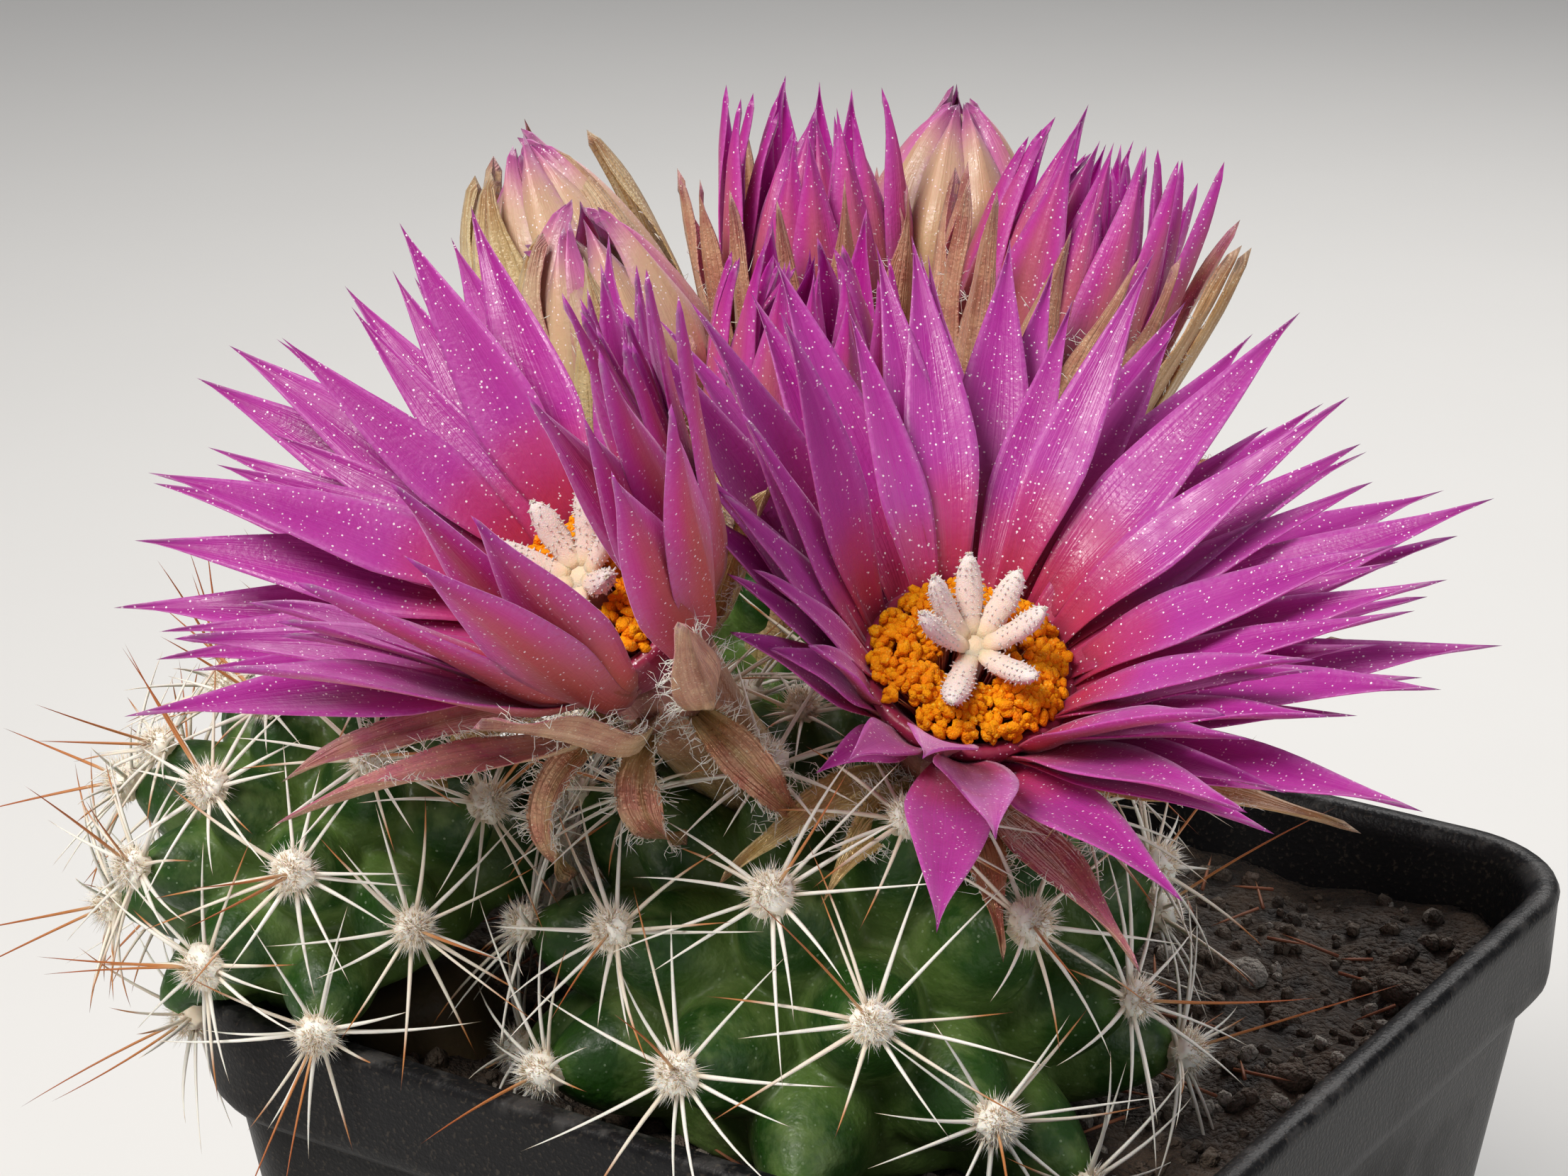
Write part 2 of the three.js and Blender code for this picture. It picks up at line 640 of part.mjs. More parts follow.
// The flesh above the soil as one skin: each tubercle rises from the grooves between it and its
// neighbours over a shoulder to a small flat tip.
function fleshSkin(head, seats) {
  const bare = Array.from({ length: 7 }, (_, i) => onSphere((i / 7) * 2 * Math.PI, (head.spread + 24) * degree));
  const sites = [...seats.map((seat) => seat.way), ...bare, new THREE.Vector3(0, 0, -1)];
  const skin = sites.slice(seats.length).map((way) => ({ way, height: -0.45 * head.core }));
  const lines = new Map();
  for (const corners of trianglesBetween(sites)) {
    const [a, b, c] = corners.map((k) => sites[k]);
    const valley = b.clone().sub(a).cross(c.clone().sub(a)).normalize();
    const lowest = Math.max(...corners) >= seats.length ? -0.22 * head.core : 0;
    if (Math.min(...corners) < seats.length) skin.push({ way: valley, height: lowest });
    corners.forEach((k, i) => {
      const pair = [k, corners[(i + 1) % 3]].sort((x, y) => x - y);
      if (pair[0] < seats.length) lines.set(pair.join(), pair);
    });
  }
  for (const [k, m] of lines.values()) {
    const height = m < seats.length ? 0.1 * Math.min(seats[k].reach, seats[m].reach) : -0.15 * head.core;
    skin.push({ way: sites[k].clone().add(sites[m]).normalize(), height });
  }
  seats.forEach((seat) => {
    const apart = Math.min(...seats.filter((s) => s !== seat).map((s) => s.way.angleTo(seat.way)));
    const side = new THREE.Vector3(0, 0, 1).cross(seat.way).normalize();
    const ring = (count, share, height) => {
      for (let i = 0; i < count; i++) {
        const turn = ((i + 0.5) / count) * 2 * Math.PI;
        const tilt = side.clone().applyAxisAngle(seat.way, turn);
        skin.push({ way: seat.way.clone().applyAxisAngle(tilt, share * apart), height: height * seat.reach });
      }
    };
    ring(5, 0.34, 0.62);
    ring(4, 0.14, 1);
  });
  const geometry = new THREE.BufferGeometry();
  const places = skin.flatMap(({ way, height }) => overCore(head, way, height).toArray());
  geometry.setAttribute("position", new THREE.Float32BufferAttribute(places, 3));
  geometry.setIndex(trianglesBetween(skin.map(({ way }) => way)).flat());
  return geometry;
}

// A tubercle on its own, as a plain cone that stands for it in tests of what it meets.
function tubercleRoom(head, seat) {
  const sides = 6;
  const side = new THREE.Vector3(0, 0, 1).cross(seat.way).normalize();
  const ring = (radius, height) =>
    Array.from({ length: sides }, (_, i) => {
      const out = side.clone().applyAxisAngle(seat.way, (i / sides) * 2 * Math.PI).multiplyScalar(radius);
      return overCore(head, seat.way, height).add(out);
    });
  return loft([ring(head.reach * 0.66, 0.1 * seat.reach), ring(head.reach * 0.46, 0.62 * seat.reach), ring(0.9, seat.reach)]);
}

// Flesh and root as one body, cut back from the flower tubes, the soil and the pot's rim. A tubercle
// pressed against an older head stays low, and one whose tip is cut away carries no spines.
function fleshOf(head, older, sockets, ground) {
  const toPlant = headMatrix(head);
  const seats = tubercleSeats(head).map((seat) => {
    const lower = [1, 0.75, 0.5, 0.25, 0.02].map((share) => ({ ...seat, reach: seat.reach * share }));
    return lower.find((low) => clearOf(solidOf(tubercleRoom(head, low), toPlant), older)) ?? lower.at(-1);
  });
  const top = middleOf(head);
  const foot = turned([[0, -14], [head.root * 0.75, -14], [head.root, -1], [head.root, top], [0, top]], 12);
  const whole = joined([solidOf(fleshSkin(head, seats), toPlant), solidOf(foot, toPlant)]);
  const solid = wholeOf(whole.subtract(joined([...sockets, ground])));
  const bearing = seats.filter((seat) => {
    const tip = new THREE.OctahedronGeometry(0.9).translate(...overCore(head, seat.way, seat.reach).toArray());
    return seat.reach > 1 && clearOf(solidOf(tip, toPlant), [...sockets, ground]);
  });
  return { head, seats: bearing, toPlant, solid };
}

// Spines of one areole: some spread flat around it, the last one stands out. One that would reach into
// a neighbour is lifted or shortened until it is clear.
function needleSolids({ head, toPlant }, seat, others) {
  const radials = 2;
  const tip = overCore(head, seat.way, seat.reach - 0.7);
  const out = seat.way.clone().add(new THREE.Vector3(0, 0, 0.15)).normalize();
  const side = new THREE.Vector3(0, 0, 1).cross(out).normalize();
  const upper = out.clone().cross(side);
  const tries = [[0, 1], [14, 1], [-14, 1], [30, 1], [0, 0.75], [20, 0.75], [45, 0.8], [0, 0.55], [30, 0.5]];
  return Array.from({ length: radials + 1 }, (_, k) => {
    const key = seat.index * 10 + k;
    const around = ((k + 0.25) / radials) * 360 + (seat.index % 3) * 60 + spreadBy(head.seed, key, 14);
    const flat = side.clone().multiplyScalar(Math.cos(around * degree));
    flat.addScaledVector(upper, Math.sin(around * degree));
    const lift = k < radials ? 24 + spreadBy(head.seed + 1, key, 9) : 62;
    const length = head.needle * (k < radials ? 1 : 1.15) * (1 + spreadBy(head.seed + 2, key, 0.16));
    const made = tries.map(([turn, share]) => {
      const angle = (lift + turn) * degree;
      const way = flat.clone().multiplyScalar(Math.cos(angle)).addScaledVector(out, Math.sin(angle));
      const tall = length * share;
      const needle = new THREE.ConeGeometry(0.32, tall, 3).translate(0, tall / 2, 0).rotateX(Math.PI / 2);
      return solidOf(needle, standing(tip.toArray(), way.toArray()).premultiply(toPlant));
    });
    return made.find((needle) => clearOf(needle, others));
  }).filter((needle) => needle);
}

// ---- the whole plant ----
function build() {
  const whole = new THREE.Group();
  const plant = new THREE.Group();
  plant.rotation.z = plantTurn;
  const toPot = new THREE.Matrix4().makeRotationZ(plantTurn);
  const toPlant = new THREE.Matrix4().makeRotationZ(-plantTurn);

  const rootHoles = (extra, frame) =>
    Object.values(heads).map((head) => {
      const radius = head.root + extra;
      const hole = turned([[0, -14.5], [radius, -14.5], [radius, 12], [0, 12]], 16);
      return solidOf(hole, headMatrix(head).premultiply(frame));
    });
  const bed = soilSolid(rootHoles(gap, toPot));
  const bedRoom = solidOf(geometryOf(bed), toPlant).translate(0, 0, 1.4 * gap).subtract(joined(rootHoles(0.05, new THREE.Matrix4())));
  const ground = joined([bedRoom, solidOf(geometryOf(potRoom()), toPlant)]);

  const stalks = Object.values(flowers).map((flower) => stalkRoom(flower, 0));
  const sockets = Object.values(flowers).map((flower) => stalkRoom(flower, gap));
  const fleshes = [];
  for (const head of Object.values(heads)) {
    fleshes.push(fleshOf(head, fleshes.map((flesh) => flesh.solid), sockets, ground));
  }

  const grown = [ground, ...fleshes.map((flesh) => flesh.solid)];
  Object.entries(flowers).forEach(([name, flower], i) => {
    const others = [...grown, ...stalks.filter((_, k) => k > i)];
    const { group, solids } = flowerGroup(name, flower, others);
    grown.push(...solids);
    plant.add(group);
  });
  Object.keys(heads).forEach((name, i) => {
    const flesh = fleshes[i];
    const others = grown.filter((solid) => solid !== flesh.solid);
    const spines = flesh.seats.flatMap((seat) => needleSolids(flesh, seat, others));
    const solid = wholeOf(joined([flesh.solid, ...spines]));
    grown.push(solid);
    plant.add(meshOf(`head_${name}`, solid, "head"));
  });
  whole.add(meshOf("pot", potSolid(), "pot"));
  whole.add(meshOf("soil", bed, "soil"));
  whole.add(plant);
  return whole;
}

export default build();
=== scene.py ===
import bpy
import bmesh
import math
import numpy as np
from mathutils import Matrix, Vector, noise
from mathutils.bvhtree import BVHTree
from mathutils.kdtree import KDTree


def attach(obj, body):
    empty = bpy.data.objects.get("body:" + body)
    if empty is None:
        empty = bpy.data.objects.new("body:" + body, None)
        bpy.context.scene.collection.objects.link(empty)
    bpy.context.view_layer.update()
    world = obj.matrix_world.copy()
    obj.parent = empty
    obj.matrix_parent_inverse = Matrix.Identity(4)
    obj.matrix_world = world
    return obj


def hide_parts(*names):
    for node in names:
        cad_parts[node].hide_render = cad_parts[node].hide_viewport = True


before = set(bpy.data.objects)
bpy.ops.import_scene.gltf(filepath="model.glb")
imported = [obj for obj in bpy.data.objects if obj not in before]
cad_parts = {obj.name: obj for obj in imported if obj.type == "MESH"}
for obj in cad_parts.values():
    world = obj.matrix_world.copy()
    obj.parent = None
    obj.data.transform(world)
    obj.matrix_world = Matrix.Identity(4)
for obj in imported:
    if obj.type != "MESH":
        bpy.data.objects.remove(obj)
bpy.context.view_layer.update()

# A flowering globe cactus with three heads in a square pot.
# Shapes are worked out in millimetres in the plant's own frame: X to the right across the
# showing side, Y away behind it. makePiece turns them onto the pot and into metres.
scene = bpy.context.scene
plantTurn = math.radians(33)
goldenAngle = math.radians(137.508)
toPot = Matrix.Rotation(plantTurn, 3, "Z")
toPlant = Matrix.Rotation(-plantTurn, 3, "Z")
potTop, soilTop = 54, 49.5
wallFrom, wallTo = 27.6, 30.5  # how far out the pot's wall stands near its rim


# small helpers

def drawn(seed, index):  # from 0 to 1, the same each time for the same seed and place in the row
    wave = math.sin(seed * 12.9898 + index * 78.233) * 43758.5453
    return wave - math.floor(wave)


def spreadBy(seed, index, amount):
    return (drawn(seed, index) * 2 - 1) * amount


def smooth(x):
    t = np.clip(x, 0, 1)
    return t * t * (3 - 2 * t)


def standing(place, direction):  # stands Z along a direction, at a point
    turn = Vector((0, 0, 1)).rotation_difference(Vector(direction).normalized())
    return Matrix.Translation(Vector(place)) @ turn.to_matrix().to_4x4()


def moved(places, matrix):  # many points through one matrix, in whatever array they stand
    m = np.array(matrix)
    flat = places.reshape(-1, 3)
    flat = flat @ m.T if m.shape[0] == 3 else flat @ m[:3, :3].T + m[:3, 3]
    return flat.reshape(places.shape)


def unit(rows):
    return rows / np.maximum(np.linalg.norm(rows, axis=-1, keepdims=True), 1e-9)


# A pile gathers closed shells that end up in one piece. Each point carries a mark: how far across,
# how far along, a chance number of its own shell, and a tone.
def newPile():
    return {"places": [], "faces": [], "marks": [], "slots": [], "count": 0}


def addShell(pile, places, faces, marks, slot=0):
    start = pile["count"]
    pile["places"].append(places)
    pile["marks"].append(marks)
    pile["faces"] += [tuple(start + i for i in face) for face in faces]
    pile["slots"] += [slot] * len(faces)
    pile["count"] += len(places)


def faceOutward(mesh):
    tidy = bmesh.new()
    tidy.from_mesh(mesh)
    bmesh.ops.recalc_face_normals(tidy, faces=tidy.faces)
    tidy.to_mesh(mesh)
    tidy.free()


def makePiece(name, pile, materials, nodes=(), onPlant=True):
    places = np.concatenate(pile["places"])
    if onPlant:
        places = moved(places, toPot)
    mesh = bpy.data.meshes.new(name)
    mesh.from_pydata((places * 0.001).tolist(), [], pile["faces"])
    marks = np.concatenate(pile["marks"]).astype(np.float32)
    leaf = mesh.attributes.new("leaf", "FLOAT_VECTOR", "POINT")
    leaf.data.foreach_set("vector", np.ascontiguousarray(marks[:, :3]).ravel())
    tone = mesh.attributes.new("tone", "FLOAT", "POINT")
    tone.data.foreach_set("value", np.ascontiguousarray(marks[:, 3]))
    for material in materials:
        mesh.materials.append(material)
    mesh.polygons.foreach_set("material_index", pile["slots"])
    mesh.polygons.foreach_set("use_smooth", [True] * len(mesh.polygons))
    faceOutward(mesh)
    mesh.update()
    piece = bpy.data.objects.new(name, mesh)
    scene.collection.objects.link(piece)
    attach(piece, "root")
    if nodes:
        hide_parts(*nodes)
    return piece


def gridFaces(rings, points, start=0):  # quads between closed rings of points
    return [
        (start + k * points + i, start + k * points + (i + 1) % points,
         start + (k + 1) * points + (i + 1) % points, start + (k + 1) * points + i)
        for k in range(rings - 1) for i in range(points)
    ]


def ringCaps(rings, points):  # the first and the last ring, each closed by one face
    return [tuple(range(points - 1, -1, -1)), tuple((rings - 1) * points + i for i in range(points))]


# Many slim tapering tubes at once. paths is tubes x stations x 3, and each ends in a point.
def addTubes(pile, paths, radii, sides, chances, tones, slot=0):
    count, stations, _ = paths.shape
    if not count:
        return
    along = unit(np.gradient(paths, axis=1))
    helper = np.where(np.abs(along[:, :1, 2:3]) < 0.8, [0.0, 0.0, 1.0], [1.0, 0.0, 0.0])
    side = unit(np.cross(along, helper))
    upper = np.cross(along, side)
    turns = np.arange(sides) * 2 * math.pi / sides
    ring = side[:, :, None] * np.cos(turns)[:, None] + upper[:, :, None] * np.sin(turns)[:, None]
    radii = np.broadcast_to(radii, (count, stations))
    body = (paths[:, :-1, None] + ring[:, :-1] * radii[:, :-1, None, None]).reshape(count, -1, 3)
    places = np.concatenate([body, paths[:, -1:]], axis=1)
    perTube = (stations - 1) * sides + 1
    one = gridFaces(stations - 1, sides)
    last = (stations - 2) * sides
    one += [(last + i, last + (i + 1) % sides, perTube - 1) for i in range(sides)]
    one.append(tuple(range(sides - 1, -1, -1)))
    share = np.append(np.repeat(np.linspace(0, 1, stations)[:-1], sides), 1.0)
    marks = np.zeros((count, perTube, 4))
    marks[:, :, 0] = np.append(np.tile(np.cos(turns), stations - 1), 0)
    marks[:, :, 1] = share
    marks[:, :, 2] = np.asarray(chances)[:, None]
    marks[:, :, 3] = np.asarray(tones)[:, None]
    start = pile["count"]
    pile["places"].append(places.reshape(-1, 3))
    pile["marks"].append(marks.reshape(-1, 4))
    for k in range(count):
        base = start + k * perTube
        pile["faces"] += [tuple(base + i for i in face) for face in one]
    pile["slots"] += [slot] * (len(one) * count)
    pile["count"] += count * perTube


def ballShape(level):
    ball = bmesh.new()
    bmesh.ops.create_icosphere(ball, subdivisions=level, radius=1)
    shape = np.array([v.co for v in ball.verts]), [tuple(v.index for v in f.verts) for f in ball.faces]
    ball.free()
    return shape


# Round lumps, one ball of triangles for each place, rough to a share of its size.
def addLumps(pile, places, sizes, roughness, rng, level, slot=0, tones=None, ways=None):
    points, faces = ballShape(level)
    for k, (place, size) in enumerate(zip(places, sizes)):
        bumpy = 1 + roughness * (rng.random(len(points)) * 2 - 1)
        shape = points * bumpy[:, None] * size
        if ways is not None:
            shape = moved(shape, standing((0, 0, 0), ways[k]))
        marks = np.zeros((len(points), 4))
        marks[:, 0] = points[:, 0]
        marks[:, 1] = points[:, 2] * 0.5 + 0.5
        marks[:, 2] = rng.random()
        marks[:, 3] = 0 if tones is None else tones[k]
        addShell(pile, shape + place, faces, marks, slot)


def ringPoints(r, turns, z):  # a point for each turn about Z
    return np.stack([r * np.cos(turns), r * np.sin(turns), np.broadcast_to(z, np.shape(turns))], axis=1)


def aboutAxis(r, side, z, turn):  # radius, distance sideways and height, swung round Z by one turn
    x = r * math.cos(turn) - side * math.sin(turn)
    return np.stack([x, r * math.sin(turn) + side * math.cos(turn), z], axis=2)


# A round turned skin about Z from [radius, height] pairs, closed where it starts and ends on the axis.
def turnedShell(profile, sides, wobble=0.0, seed=0):
    rings = [p for p in profile if p[0] > 1e-6]
    turns = np.arange(sides) * 2 * math.pi / sides
    places, marks = [], []
    for k, (r, z) in enumerate(rings):
        rr = r * (1 + wobble * np.sin(turns * 5 + seed + k * 0.7))
        places.append(ringPoints(rr, turns, z))
        share = np.full(sides, k / max(1, len(rings) - 1))
        marks.append(np.stack([np.cos(turns), share, np.full(sides, 0.5), np.zeros(sides)], axis=1))
    places = np.concatenate(places + [np.array([[0, 0, profile[0][1]], [0, 0, profile[-1][1]]])])
    marks = np.concatenate(marks + [np.array([[0, 0, 0.5, 0], [0, 1, 0.5, 0]])])
    faces = gridFaces(len(rings), sides)
    first, last = len(rings) * sides, (len(rings) - 1) * sides
    faces += [(first, (i + 1) % sides, i) for i in range(sides)]
    faces += [(first + 1, last + i, last + (i + 1) % sides) for i in range(sides)]
    return places, faces, marks


# shader helpers

def newMaterial(name):
    material = bpy.data.materials.new(name)
    material.use_nodes = True
    tree = material.node_tree
    return material, tree, tree.nodes["Principled BSDF"]


def put(tree, kind, values=None, **settings):  # a node, its plain socket values and its settings
    made = tree.nodes.new(kind)
    for key, value in settings.items():
        setattr(made, key, value)
    for key, value in (values or {}).items():
        made.inputs[key].default_value = value
    return made


def join(tree, source, target):
    tree.links.new(source, target)


def ramp(tree, source, stops, smoothly=True):
    made = put(tree, "ShaderNodeValToRGB")
    made.color_ramp.interpolation = "EASE" if smoothly else "LINEAR"
    elements = made.color_ramp.elements
    while len(elements) < len(stops):
        elements.new(0.5)
    for element, (place, colour) in zip(elements, stops):
        element.position = place
        element.color = (*colour, 1) if len(colour) == 3 else colour
    join(tree, source, made.inputs["Fac"])
    return made.outputs["Color"]


def blend(tree, share, first, second, way="MIX"):  # share, first and second are sockets or plain values
    made = put(tree, "ShaderNodeMix", data_type="RGBA", blend_type=way)
    for socket, value in ((made.inputs[0], share), (made.inputs[6], first), (made.inputs[7], second)):
        if isinstance(value, bpy.types.NodeSocket):
            join(tree, value, socket)
        else:
            socket.default_value = value if isinstance(value, (int, float)) else (*value, 1)
    return made.outputs[2]


def reckon(tree, way, first, second=0.0, third=0.0, clamp=False):
    made = put(tree, "ShaderNodeMath", operation=way, use_clamp=clamp)
    for socket, value in zip(made.inputs, (first, second, third)):
        if isinstance(value, bpy.types.NodeSocket):
            join(tree, value, socket)
        else:
            socket.default_value = value
    return made.outputs[0]


def stretched(tree, source, low, high, newLow=0.0, newHigh=1.0):  # a smooth step from low to high
    made = put(tree, "ShaderNodeMapRange", interpolation_type="SMOOTHSTEP")
    for key, value in (("From Min", low), ("From Max", high), ("To Min", newLow), ("To Max", newHigh)):
        made.inputs[key].default_value = value
    join(tree, source, made.inputs["Value"])
    return made.outputs["Result"]


def marksOf(tree):  # across, along, chance and tone as sockets
    leaf = put(tree, "ShaderNodeAttribute", attribute_name="leaf")
    parts = put(tree, "ShaderNodeSeparateXYZ")
    join(tree, leaf.outputs["Vector"], parts.inputs[0])
    tone = put(tree, "ShaderNodeAttribute", attribute_name="tone")
    return parts.outputs[0], parts.outputs[1], parts.outputs[2], tone.outputs["Fac"]


def setPlain(shader, values):  # values that are the same all over stay on the shader's own sockets
    for key, value in values.items():
        shader.inputs[key].default_value = value


def times(tree, first, second):
    return reckon(tree, "MULTIPLY", first, second)


def objectPlace(tree):
    return put(tree, "ShaderNodeTexCoord").outputs["Object"]


def raiseBump(tree, shader, height, strength, distance):
    bump = put(tree, "ShaderNodeBump", {"Strength": strength, "Distance": distance})
    join(tree, height, bump.inputs["Height"])
    join(tree, bump.outputs["Normal"], shader.inputs["Normal"])


def newGroup(name, ins, outs):  # ins gives each input's default, or None for a place
    group = bpy.data.node_groups.new(name, "ShaderNodeTree")
    for label, default in ins.items():
        kind = "NodeSocketVector" if default is None else "NodeSocketFloat"
        socket = group.interface.new_socket(name=label, in_out="INPUT", socket_type=kind)
        if default is not None:
            socket.default_value = default
    for label in outs:
        group.interface.new_socket(name=label, in_out="OUTPUT", socket_type="NodeSocketFloat")
    return group, group.nodes.new("NodeGroupInput"), group.nodes.new("NodeGroupOutput")


def placeGroup(tree, group, values=None, **sources):
    made = put(tree, "ShaderNodeGroup", node_tree=group)
    for key, value in (values or {}).items():
        made.inputs[key].default_value = value
    for key, socket in sources.items():
        join(tree, socket, made.inputs[key])
    return made


# Tiny bright specks, as the fine cells of the skin catch the light.
def buildSpeckle():
    group, given, out = newGroup("fineSpecks", {"Place": None, "Density": 900.0, "Size": 0.2, "Share": 0.4},
        ["Mask"])
    cells = put(group, "ShaderNodeTexVoronoi", feature="F1")
    join(group, given.outputs["Place"], cells.inputs["Vector"])
    join(group, given.outputs["Density"], cells.inputs["Scale"])
    near = reckon(group, "LESS_THAN", cells.outputs["Distance"], given.outputs["Size"])
    pick = put(group, "ShaderNodeSeparateColor")
    join(group, cells.outputs["Color"], pick.inputs[0])
    kept = reckon(group, "LESS_THAN", pick.outputs[0], given.outputs["Share"])
    join(group, times(group, near, kept), out.inputs["Mask"])
    return group


# Fine lines running lengthwise along a tepal.
def buildVeins():
    given = {"Across": 0.0, "Along": 0.0, "Chance": 0.0, "Lines": 6.0, "Drift": 1.0}
    group, given, out = newGroup("lengthVeins", given, ["Ridge", "Streak"])
    where = put(group, "ShaderNodeCombineXYZ")
    join(group, times(group, given.outputs["Across"], given.outputs["Lines"]), where.inputs[0])
    join(group, times(group, given.outputs["Along"], given.outputs["Drift"]), where.inputs[1])
    join(group, times(group, given.outputs["Chance"], 37.0), where.inputs[2])
    streak = put(group, "ShaderNodeTexNoise", {"Scale": 1.0, "Detail": 2.0, "Roughness": 0.5})
    join(group, where.outputs[0], streak.inputs["Vector"])
    wander = reckon(group, "MULTIPLY_ADD", streak.outputs["Fac"], 0.8, given.outputs["Across"])
    wave = reckon(group, "SINE", times(group, times(group, wander, given.outputs["Lines"]), math.pi))
    ridge = reckon(group, "POWER", reckon(group, "ABSOLUTE", wave), 3.0)
    join(group, ridge, out.inputs["Ridge"])
    join(group, streak.outputs["Fac"], out.inputs["Streak"])
    return group


# Soft uneven patches of tone.
def buildMottle():
    given = {"Place": None, "Scale": 200.0, "Low": 0.4, "High": 0.65}
    group, given, out = newGroup("softMottle", given, ["Patch", "Grain"])
    patch = put(group, "ShaderNodeTexNoise", {"Detail": 4.0, "Roughness": 0.6})
    join(group, given.outputs["Place"], patch.inputs["Vector"])
    join(group, given.outputs["Scale"], patch.inputs["Scale"])
    span = put(group, "ShaderNodeMapRange")
    join(group, patch.outputs["Fac"], span.inputs["Value"])
    join(group, given.outputs["Low"], span.inputs["From Min"])
    join(group, given.outputs["High"], span.inputs["From Max"])
    join(group, span.outputs["Result"], out.inputs["Patch"])
    grain = put(group, "ShaderNodeTexNoise", {"Detail": 2.0})
    join(group, given.outputs["Place"], grain.inputs["Vector"])
    join(group, times(group, given.outputs["Scale"], 9.0), grain.inputs["Scale"])
    join(group, grain.outputs["Fac"], out.inputs["Grain"])
    return group


fineSpecks, lengthVeins, softMottle = buildSpeckle(), buildVeins(), buildMottle()

# petals, sepals and what stands in a flower

# Painted glints on the tepals, two sizes of speck on each: how dense, how large, how many of them show, how
# strongly.
petalGlints = ((2700.0, 0.16, 0.34, 0.95), (4300.0, 0.2, 0.34, 0.7))
sepalGlints = ((2900.0, 0.16, 0.3, 0.7), (5600.0, 0.24, 0.4, 0.5))


# Bright specks laid over a colour: painted glints.
def speckled(tree, here, colour, kindsOfSpeck, bright):
    for density, size, share, strength in kindsOfSpeck:
        specks = placeGroup(tree, fineSpecks, {"Density": density, "Size": size, "Share": share}, Place=here)
        colour = blend(tree, times(tree, specks.outputs["Mask"], strength), colour, bright)
    return colour


# Colours of the tepals. lilac is partly their own lilac, partly a painted highlight; frostSheen is a painted
# sheen over a pale grain.
petalLook = {
    "base": (0.16, 0.008, 0.03), "throat": (0.44, 0.027, 0.085), "rose": (0.47, 0.036, 0.18),
    "magenta": (0.42, 0.029, 0.30), "deep": (0.35, 0.011, 0.25), "tip": (0.23, 0.005, 0.15),
    "lilac": (0.49, 0.066, 0.37), "frostSheen": (0.59, 0.18, 0.48), "underRib": (0.48, 0.085, 0.05),
    "outer": (0.68, 0.040, 0.24), "outerFoot": (0.62, 0.14, 0.07),
    "outerShare": 0.58, "cream": (0.74, 0.55, 0.32), "creamShare": 0.0, "roughness": 0.42,
}


def buildPetalMaterial(name, look):
    material, tree, shader = newMaterial(name)
    across, along, chance, tone = marksOf(tree)
    here = objectPlace(tree)
    run = ramp(tree, along, [(0.0, look["base"]), (0.13, look["throat"]), (0.27, look["rose"]),
        (0.42, look["magenta"]), (0.78, look["deep"]), (1.0, look["tip"])])
    veins = placeGroup(tree, lengthVeins, {"Lines": 5.0, "Drift": 1.2}, Across=across, Along=along,
        Chance=chance)
    off = reckon(tree, "ABSOLUTE", across)
    # Lilac over the middle of the tepal, in streaks and away from the midline: partly the tepal's own lilac,
    # partly a painted highlight.
    lighten = stretched(tree, veins.outputs["Streak"], 0.3, 0.75)
    body = times(tree, stretched(tree, along, 0.22, 0.5),
        reckon(tree, "MULTIPLY_ADD", lighten, 0.3, times(tree, stretched(tree, off, 0.1, 0.7), 0.2)))
    colour = blend(tree, body, run, look["lilac"])
    colour = blend(tree, times(tree, veins.outputs["Ridge"], 0.05), colour, look["deep"])
    outside = ramp(tree, along, [(0.0, look["outerFoot"]), (0.3, look["outerFoot"]), (0.62, look["outer"]),
        (1.0, look["deep"])])
    colour = blend(tree, times(tree, tone, look["outerShare"]), colour, outside)
    rib = times(tree, stretched(tree, off, 0.75, 0.1), times(tree, tone, stretched(tree, along, 1.0, 0.5)))
    colour = blend(tree, times(tree, rib, 0.75), colour, look["underRib"])
    # some tepals of a bud are cream, with their colour only near the tip
    creamed = times(tree, stretched(tree, chance, 0.35, 0.45),
        times(tree, stretched(tree, along, 1.0, 0.72), look["creamShare"]))
    colour = blend(tree, creamed, colour, look["cream"])
    patch = placeGroup(tree, softMottle, {"Scale": 420.0}, Place=here)
    # Paler towards the edges: the pale grain of fine papillae, with a painted sheen over it.
    frostSheen = times(tree, stretched(tree, off, 0.55, 1.0),
        stretched(tree, patch.outputs["Grain"], 0.35, 0.65, 0.3, 1.0))
    colour = blend(tree, times(tree, frostSheen, times(tree, stretched(tree, along, 0.15, 0.45), 0.45)), colour,
        look["frostSheen"])
    colour = speckled(tree, here, colour, petalGlints, (1.0, 0.84, 0.92))
    join(tree, colour, shader.inputs["Base Color"])
    low, high = look["roughness"] - 0.08, look["roughness"] + 0.12
    join(tree, stretched(tree, patch.outputs["Patch"], 0.0, 1.0, low, high), shader.inputs["Roughness"])
    raiseBump(tree, shader, reckon(tree, "MULTIPLY_ADD", veins.outputs["Ridge"], 0.3, patch.outputs["Grain"]),
        0.2, 0.0002)
    setPlain(shader, {"Subsurface Weight": 0.22, "Subsurface Radius": (1.0, 0.25, 0.7),
        "Subsurface Scale": 0.0012, "Sheen Weight": 0.25, "Sheen Roughness": 0.4,
        "Sheen Tint": (1.0, 0.75, 0.95, 1)})
    return material


# Colours of the sepals and bracts. pale is partly their own pale tan, partly a painted sheen highlight.
sepalLook = {
    "root": (0.20, 0.17, 0.045), "middle": (0.46, 0.25, 0.085), "tip": (0.24, 0.080, 0.028),
    "blush": (0.48, 0.070, 0.22), "pale": (0.80, 0.54, 0.30), "rib": (0.22, 0.070, 0.025), "gloss": 0.36,
    "metal": 0.0, "sheen": 0.2,
}


